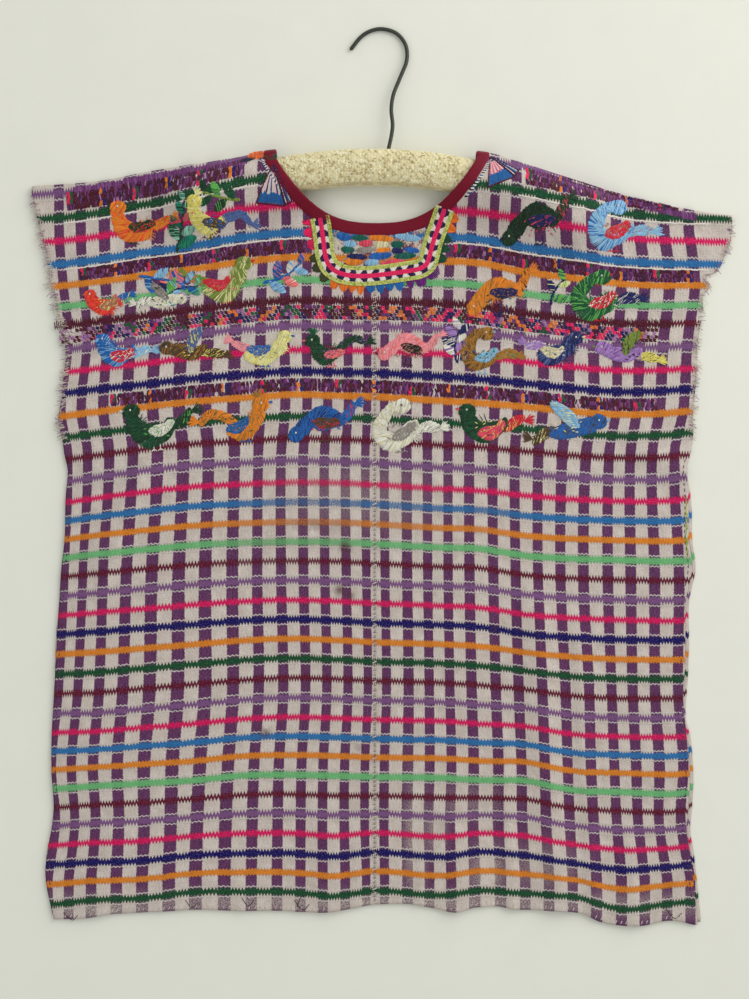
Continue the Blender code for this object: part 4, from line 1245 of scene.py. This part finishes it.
def bird(name, pose, x, y, long, flip, tilt, dyes):
    body, second, wing, tail, speck = dyes
    tail_way, body_way, wing_way, eye, beak, crest, feet = POSES[pose]
    ca, sa = math.cos(math.radians(tilt)), math.sin(math.radians(tilt))
    stretch = rng.uniform(0.92, 1.10)

    def at(u, v):
        u, v = u * long * flip, v * long * stretch
        return x + u * ca - v * sa, y + u * sa + v * ca

    def toward(angle):
        return (angle if flip > 0 else 180 - angle) + tilt

    def way(points):
        return [at(u + rng.uniform(-0.015, 0.015), v + rng.uniform(-0.015, 0.015)) + (w * long * rng.uniform(0.92, 1.12),)
                for u, v, w in points]

    t = Threads()
    limb(t, way(tail_way), C[tail], (C[speck], 0.16), 0.15)
    spray(t, *at(*tail_way[-1][:2]), long * 0.16, toward(18), 80, 12, C[tail], 0.9, 0.3)
    limb(t, way(body_way), C[body], (C[second], 0.28), 0.42)
    limb(t, way(wing_way), C[wing], (C[speck], 0.14), 0.72)
    hx, hy = at(eye[0] + 0.01, eye[1] - 0.02)
    satin(t, hx, hy, long * 0.24, long * 0.20, toward(beak), C[body], 65, 2.0, lift=0.6, second=(C[second], 0.2))
    for k in range(5):  # loose ends along the body
        u, v, w = body_way[int(rng.integers(0, len(body_way)))]
        spray(t, *at(u, v), w * long * 0.72, float(rng.uniform(0, 360)), 70, 5, C[body], 0.8, 0.4)
    for _ in range(11):
        u, v = rng.uniform(-0.22, 0.2), rng.uniform(-0.12, 0.08)
        a, b = at(u, v), at(u + rng.uniform(0.02, 0.06), v + rng.uniform(-0.03, 0.03))
        t.stitch(a, b, tone(C[speck], 0.2), 0.85, 0.5, 1.2)
    spray(t, *at(eye[0] + 0.07 * math.cos(math.radians(beak)), eye[1]), long * 0.09, toward(beak), 22, 4, C[wing], 0.9, 0.5)
    if crest:
        spray(t, *at(*crest), long * 0.14, toward(70), 90, 9, C[second], 0.9, 0.5)
    ex, ey = at(*eye)
    for k in (-0.5, 0.3):
        t.stitch((ex - 0.9, ey + k), (ex + 0.9, ey + k + 0.2), tone(C["white" if body != "white" else "black"], 0.08), 0.9, 0.5, 1.35)
    if feet:
        for f in (-0.045, 0.045):
            a, b = at(feet[0] + f, feet[1] + 0.07), at(feet[0] + f, feet[1] - 0.01)
            t.stitch(a, b, tone(C[wing]), 0.9, 0.4, 0.3)
            for toe in (-0.04, 0.0, 0.04):
                t.stitch(b, at(feet[0] + f + toe, feet[1] - 0.04), tone(C[wing]), 0.8, 0.4, 0.3)
    return t.build("bird_" + name, FLOSS)


for r, row in enumerate(ROWS):
    for k, dyes in enumerate(row.dyes):
        bird("%d_%d" % (r + 1, k + 1), POSE_ORDER[(2 * r + k) % len(POSE_ORDER)],
                               row.first + k * row.pitch + rng.uniform(-3, 3), row.y + rng.uniform(-3, 3), row.long,
                               -1 if (r + k) % 4 == 3 else 1, rng.uniform(-10, 10), dyes)

# sprigs between the birds: a curved stalk with leaves by turns on either side, their length falling toward the tip
Sprig = namedtuple("Sprig", "group x y tall lean leaves stalk dyes")
SPRIGS = [
    Sprig("plant_left", -188, 206, 46, 78, 8, "forest", ("teal", "green", "mint", "tealdark", "rose")),
    Sprig("leaf_green", -128, 250, 34, 168, 5, "olive", ("green", "forest", "leaf")),
    Sprig("blue_leaves", -222, 184, 44, -8, 6, "blue", ("blue", "ice", "navy", "salmon")),
    Sprig("blue_leaves", -206, 158, 40, 24, 6, "navy", ("blue", "leaf", "ice", "salmon")),
    Sprig("ice_leaves", -108, 178, 38, 28, 6, "blue", ("ice", "blue", "salmon", "white")),
    Sprig("navy_plant", 70, 104, 32, 84, 8, "navy", ("navy", "white", "lilac")),
    Sprig("right_sprig", 156, 158, 26, 60, 4, "navy", ("leaf", "navy", "lemon")),
]
groups = {}
for g in SPRIGS:
    t = groups.setdefault(g.group, Threads())
    lean, bow = math.radians(g.lean), rng.uniform(-0.16, 0.16) * g.tall
    d, n = np.array([math.cos(lean), math.sin(lean)]), np.array([-math.sin(lean), math.cos(lean)])
    stalk = [np.array([g.x, g.y]) + d * g.tall * f + n * bow * math.sin(math.pi * f) for f in (0, 0.35, 0.7, 1.0)]
    limb(t, [(float(q[0]), float(q[1]), 2.3 - 0.4 * k) for k, q in enumerate(stalk)], C[g.stalk], lift=0.2)
    for k in range(g.leaves):
        f = (k + 0.8) / g.leaves
        side = 1 if k % 2 else -1
        q = np.array([g.x, g.y]) + d * g.tall * f + n * bow * math.sin(math.pi * f)
        angle = g.lean + side * rng.uniform(38, 66)
        size = (17 - 6 * f) * rng.uniform(0.85, 1.2)
        q = q + np.array([math.cos(math.radians(angle)), math.sin(math.radians(angle))]) * size * 0.5
        dye = g.dyes[k % len(g.dyes)]
        satin(t, float(q[0]), float(q[1]), size, size * 0.46, angle, C[dye], 58, 1.5, lift=0.35,
              second=(C[g.dyes[(k + 1) % len(g.dyes)]], 0.22))
for group, t in groups.items():
    t.build("leaves_" + group, FLOSS)

# the worked patch between the binding and the trim
patch = Threads()
for k in range(360):
    x, y = rng.uniform(-45, 42), rng.uniform(194, 226)
    edge = np.interp(y, (194, 210, 226), (30, 39, 44))
    if abs(x + 2) > edge or neck_radius(np.array([x]), np.array([y]))[0] < 10:
        continue
    d = rng.uniform(0, math.pi)
    dye = C[("stain", "stain", "tan", "cream", "grey", "stain")[k % 6]]
    patch.stitch((x, y), (x + 3.2 * math.cos(d), y + 3.2 * math.sin(d)), tone(dye), 1.1, 0.35, 0.08)
PATCH_DYES = ("blue", "tealdark", "orange", "ice", "rose", "cream", "tealdark", "grey", "orange", "navy")
for r in range(5):  # loose rows of lozenges, longer and shorter by turns, in a run of dyes that moves on from row to row
    y = 219 - 5.6 * r
    x, k = -40.0 + 4.0 * (r % 2) + 1.6 * r, 3 * r
    while x < 36 - 1.6 * r:
        long = rng.uniform(10, 24)
        if x + long < 42 - 1.6 * r and neck_radius(np.array([x + long / 2]), np.array([y]))[0] > 9:
            satin(patch, x + long / 2, y + rng.uniform(-0.8, 0.8), long, rng.uniform(4.4, 6.6), rng.uniform(-8, 8),
                  C[PATCH_DYES[k % len(PATCH_DYES)]], 80, 1.8, lift=0.3)
        x += long + rng.uniform(0.5, 2.5)
        k += 1
patch_ob = patch.build("neck_patch", FLOSS)

# ============================================================ seams, hem and loose threads ===================
seams = Threads()
y = -393.0
while y < NECK_Y - NECK_B - 6:  # the two panels are joined edge to edge by hand
    step = rng.uniform(3.6, 5.2)
    seams.stitch((SEAM_X - 2.1, y), (SEAM_X + 2.0, y + 1.6), tone(lin(206, 200, 188), 0.12), 0.9, 0.35, 0.25)
    seams.stitch((SEAM_X + 1.6, y + step * 0.45), (SEAM_X - 1.6, y + step * 0.62), tone(lin(150, 128, 140), 0.2), 0.8, 0.3, 0.15)
    y += step
for side, column in ((-1, 1), (1, 2)):  # side seams, run close to the edge
    y = -398.0
    while y < 16:
        x = float(rows_of(SIDES, y, column)) - side * 3.4
        x2 = float(rows_of(SIDES, y + 3, column)) - side * 3.4
        seams.stitch((x, y), (x2, y + 3.1), tone(lin(84, 48, 82), 0.2), 0.85, 0.3, 0.1)
        y += 5.4
x = -296.0
while x < 280:  # hem, a run of small slanting stitches
    y = float(rows_of(HEM, x)) + 3.2
    seams.stitch((x, y - 1.6), (x + 1.3, y + 1.3), tone(lin(198, 192, 180), 0.16), 0.8, 0.3, 0.1)
    x += rng.uniform(4.2, 5.6)
seam_ob = seams.build("seam_stitches", COTTON)


def strand(threads, points, colour, width=0.7, lift=0.1):
    path = smooth_path(points, 2.2)
    for a, b in zip(path, path[1:]):
        d = (b - a) * 0.12
        threads.stitch(tuple(a - d), tuple(b + d), colour, width, 0.4, lift)


fringe = Threads()
for column, side, low, high, count in ((1, -1, 34, 256, 330), (2, 1, 34, 238, 240)):  # frayed ends of the sleeve openings
    for k in range(count):
        y = low + (high - low) * rng.random()
        x = float(rows_of(SIDES, y, column)) - side * rng.uniform(1.0, 5.0)
        far = rng.uniform(2.5, 8.5) * (1 if side < 0 else 0.75)
        shade = (lin(206, 198, 184), lin(196, 186, 176), lin(150, 106, 144), lin(222, 216, 204))[k % 4]
        sag = rng.uniform(-4.5, 2.5)
        strand(fringe, ((x, y), (x + side * far * 0.55, y + sag * 0.3), (x + side * far, y + sag)), shade, 0.45, 0.2)
fringe_ob = fringe.build("sleeve_fringe", COTTON)

loose = Threads()
INK, LIME, SUN = lin(38, 32, 36), lin(132, 176, 84), lin(206, 190, 92)
for points in (
    ((-292, -402), (-284, -408.5), (-279, -404)), ((-180, -390), (-174, -397), (-168, -392)),
    ((-128, -388), (-122, -396), (-117, -390)), ((-80, -390), (-72, -399), (-66, -394)),
    ((262, -398), (270, -407), (277, -402)), ((-77, -396), (-74, -388), (-69, -385)),
):
    strand(loose, points, INK, 0.7)
for k in range(16):
    y = rng.uniform(-70, -18)
    x = float(rows_of(SIDES, y, 2)) - 3
    strand(loose, ((x, y), (x + 1.4, y + rng.uniform(-6, -2)), (x + rng.uniform(0, 2.5), y + rng.uniform(-11, -6))),
           LIME if k % 3 else SUN, 0.75)
loose_ob = loose.build("loose_threads", COTTON)

# ============================================================ padded hanger ==================================
RINGS, ROUND = 96, 28
s = np.linspace(0, 1, RINGS)
cx, cy = BAR_PEAK_X, BAR_PEAK_Y - BAR_RADIUS
a_left = math.asin((BAR_LEFT - cx) / BAR_RADIUS)
a_right = math.asin((BAR_RIGHT - cx) / BAR_RADIUS)
ease = 0.5 - 0.5 * np.cos(np.pi * s)
angle = a_left + (a_right - a_left) * (0.5 * s + 0.5 * ease)
from_end = np.minimum(angle - a_left, a_right - angle) * BAR_RADIUS
cap = np.sqrt(np.clip(1 - (1 - np.minimum(from_end / (BAR_W / 2), 1)) ** 2, 0.0009, 1))
ring = []
for k in range(RINGS):
    ux, uy = math.sin(angle[k]), math.cos(angle[k])
    wob = 1 + 0.018 * math.sin(k * 1.7) + 0.012 * math.sin(k * 4.1)
    for j in range(ROUND):
        t = 2 * math.pi * j / ROUND
        half_w = BAR_W / 2 * cap[k] * wob * 0.985
        c, d = math.cos(t), math.sin(t)
        c = np.sign(c) * abs(c) ** 0.92
        d = np.sign(d) * abs(d) ** 0.92
        r = BAR_RADIUS + half_w * c
        ring.append((cx + r * ux, cy + r * uy, BAR_Z + BAR_H / 2 * cap[k] * wob * 0.97 * d))
bar_mesh = mesh_of("hanger_pad", np.array(ring), np.concatenate([
    grid_faces(RINGS, ROUND, closed=True)[:, ::-1],
]))
bm = bmesh.new()
bm.from_mesh(bar_mesh)
bm.verts.ensure_lookup_table()
bm.faces.new([bm.verts[j] for j in range(ROUND)])
bm.faces.new([bm.verts[(RINGS - 1) * ROUND + j] for j in range(ROUND)][::-1])
bmesh.ops.recalc_face_normals(bm, faces=bm.faces)
bm.to_mesh(bar_mesh)
bm.free()
bar_ob = link("hanger_pad", bar_mesh, PAD)
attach(bar_ob, "root")
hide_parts("hanger_bar")


def bar_top(x, y):
    """Top of the pad under a plan point."""
    off = np.clip(bar_distance(x, y) / (BAR_W / 2), 0, 0.999)
    return BAR_Z + BAR_H / 2 * 0.97 * np.sqrt(1 - off**2)


def bar_point(run, off):
    """Plan point a distance right of the middle and off to the outer side."""
    t = run / BAR_RADIUS + math.asin((4.5 - BAR_PEAK_X) / BAR_RADIUS)
    r = BAR_RADIUS + off
    return (cx + r * math.sin(t), cy + r * math.cos(t))


CREAM, CREAM_DARK, CREAM_LIGHT = lin(232, 222, 180), lin(206, 192, 148), lin(246, 240, 206)
crochet = Threads()
lanes = (-12.4, -9.6, -6.8, -4.0, -1.2, 1.6, 4.4, 7.2, 10.0, 12.8, 15.2)
for n, lane in enumerate(lanes):
    run = -112.0 + (n % 2) * 2.5
    while run < 110:
        size = 5.0
        puff = 0.35 * math.sin(run * 0.9 + n) + rng.uniform(-0.15, 0.15)
        for flip in (-1, 1):
            a = bar_point(run + (0.1 if flip < 0 else size - 0.1), lane + 1.9)
            b = bar_point(run + size / 2, lane - 1.5)
            shade = (CREAM, CREAM, CREAM_LIGHT, CREAM_DARK)[int(rng.integers(0, 4))]
            crochet.stitch(a, b, tone(shade, 0.09), 2.5 if lane < 14 else 1.8, 1.6 + puff, -0.35)
        run += size
run = -112.0
while run < 110:  # the seam along the lower edge, where the cover is drawn together, and the bumps of the upper one
    # the lower edge's row takes the darker cream as painted shade, where the bar's round side turns down and away from
    # the light
    crochet.stitch(bar_point(run, -14.0), bar_point(run + 4.4, -15.4), tone(CREAM_DARK, 0.12), 2.6, 1.9, -0.2)
    crochet.stitch(bar_point(run + 1.0, -15.6), bar_point(run + 4.6, -13.6), tone(CREAM, 0.12), 1.7, 1.6, -0.4)
    if int(run) % 2 == 0:
        crochet.stitch(bar_point(run - 1.4, 16.1), bar_point(run + 2.6, 16.3), tone(CREAM, 0.1), 2.8, 1.5, -0.6)
    run += 2.6
crochet_ob = crochet.build("crochet_cover", YARN, bar_top)
glints = Threads()
for k in range(210):
    run, lane = rng.uniform(-106, 104), rng.uniform(-15, 15)
    d = rng.uniform(-0.9, 0.9)
    glints.stitch(bar_point(run, lane), bar_point(run + 2.4, lane + d * 1.6), tone(lin(232, 210, 150), 0.15), 0.6, 0.6, 1.0)
glint_ob = glints.build("gold_glints", GOLD, bar_top)

# ============================================================ wire hook ======================================
WIRE_PATH = [
    (4.5, 285.5), (7, 299.5), (9.6, 312), (10.6, 322), (9.4, 336), (11.4, 350), (17.6, 366), (23.6, 382), (22.8, 396),
    (15.4, 406.6), (4, 411.2), (-7, 410.6), (-18, 404.6), (-28.5, 391.9),
]
WIRE_R = 1.8
line = smooth_path(WIRE_PATH, 1.6)
share = np.clip((line[:, 1] - WIRE_PATH[0][1]) / (404 - WIRE_PATH[0][1]), 0, 1)
past = np.maximum.accumulate(share)
wire_z = BAR_Z + (WIRE_R + 0.05 - BAR_Z) * (0.35 * past**2 * (3 - 2 * past) + 0.65 * past)
line = np.concatenate([line, wire_z[:, None]], axis=1)
ahead = np.gradient(line, axis=0)
ahead /= np.linalg.norm(ahead, axis=1)[:, None]
flat_side = np.stack([-ahead[:, 1], ahead[:, 0], 0 * ahead[:, 0]], axis=1)
flat_side /= np.linalg.norm(flat_side, axis=1)[:, None]
upward = np.cross(ahead, flat_side)
upward *= np.sign(upward[:, 2:3])
from_start = np.concatenate([[0], np.cumsum(np.linalg.norm(np.diff(line, axis=0), axis=1))])
left = from_start[-1] - from_start
radius = WIRE_R * np.sqrt(np.clip(1 - np.clip(1 - left / WIRE_R, 0, 1) ** 2, 0.02, 1))
around = np.linspace(0, 2 * math.pi, 14, endpoint=False)
tube = line[:, None, :] + radius[:, None, None] * (
    flat_side[:, None, :] * np.cos(around)[None, :, None] + upward[:, None, :] * np.sin(around)[None, :, None]
)
hook_mesh = mesh_of("wire_hook", tube.reshape(-1, 3), grid_faces(len(line), 14, closed=True))
bm = bmesh.new()
bm.from_mesh(hook_mesh)
bm.verts.ensure_lookup_table()
bm.faces.new([bm.verts[j] for j in range(14)][::-1])
bm.faces.new([bm.verts[(len(line) - 1) * 14 + j] for j in range(14)])
bmesh.ops.recalc_face_normals(bm, faces=bm.faces)
bm.to_mesh(hook_mesh)
bm.free()
hook_ob = link("wire_hook", hook_mesh, WIRE)
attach(hook_ob, "root")
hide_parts("hanger_hook")

# ============================================================ floor, light and camera ========================
floor_mesh = bpy.data.meshes.new("bed_sheet")
n = 90
gx, gy = np.meshgrid(np.linspace(-1900, 1900, n), np.linspace(-1900, 1900, n))
floor_mesh.from_pydata(
    (np.stack([gx, gy, -0.4 + 0 * gx], axis=2).reshape(-1, 3) * MM).tolist(), [], grid_faces(n, n).tolist()
)
floor = bpy.data.objects.new("bed_sheet", floor_mesh)
bpy.context.scene.collection.objects.link(floor)
floor_mesh.materials.append(SHEET)


def lamp(name, place, aim, power, size, colour=(1, 1, 1)):
    data = bpy.data.lights.new(name, "AREA")
    data.energy, data.size, data.color = power, size, colour
    ob = bpy.data.objects.new(name, data)
    bpy.context.scene.collection.objects.link(ob)
    ob.location = place
    ob.rotation_euler = (Vector(aim) - Vector(place)).to_track_quat("-Z", "Y").to_euler()
    return ob


lamp("window", (1.6, 1.35, 1.25), (0.05, 0.03, 0), 42, 2.4, (1.0, 0.98, 0.94))
lamp("room", (-1.2, -0.9, 2.2), (0, 0, 0), 8, 2.2, (0.96, 0.97, 0.97))
world = bpy.data.worlds.new("studio")
world.use_nodes = True
world.node_tree.nodes["Background"].inputs[0].default_value = (0.90, 0.90, 0.85, 1)
world.node_tree.nodes["Background"].inputs[1].default_value = 0.56
bpy.context.scene.world = world
bpy.context.scene.view_settings.view_transform = "Standard"

HEIGHT = 1.6
SPAN = 0.919
cam_data = bpy.data.cameras.new("camera")
cam_data.sensor_width = 36
cam_data.lens = 36 * HEIGHT / SPAN
cam = bpy.data.objects.new("camera", cam_data)
bpy.context.scene.collection.objects.link(cam)
cam.location = (-0.006, -0.0216, HEIGHT + 0.003)
cam.rotation_euler = (0, 0, 0)
bpy.context.scene.camera = cam
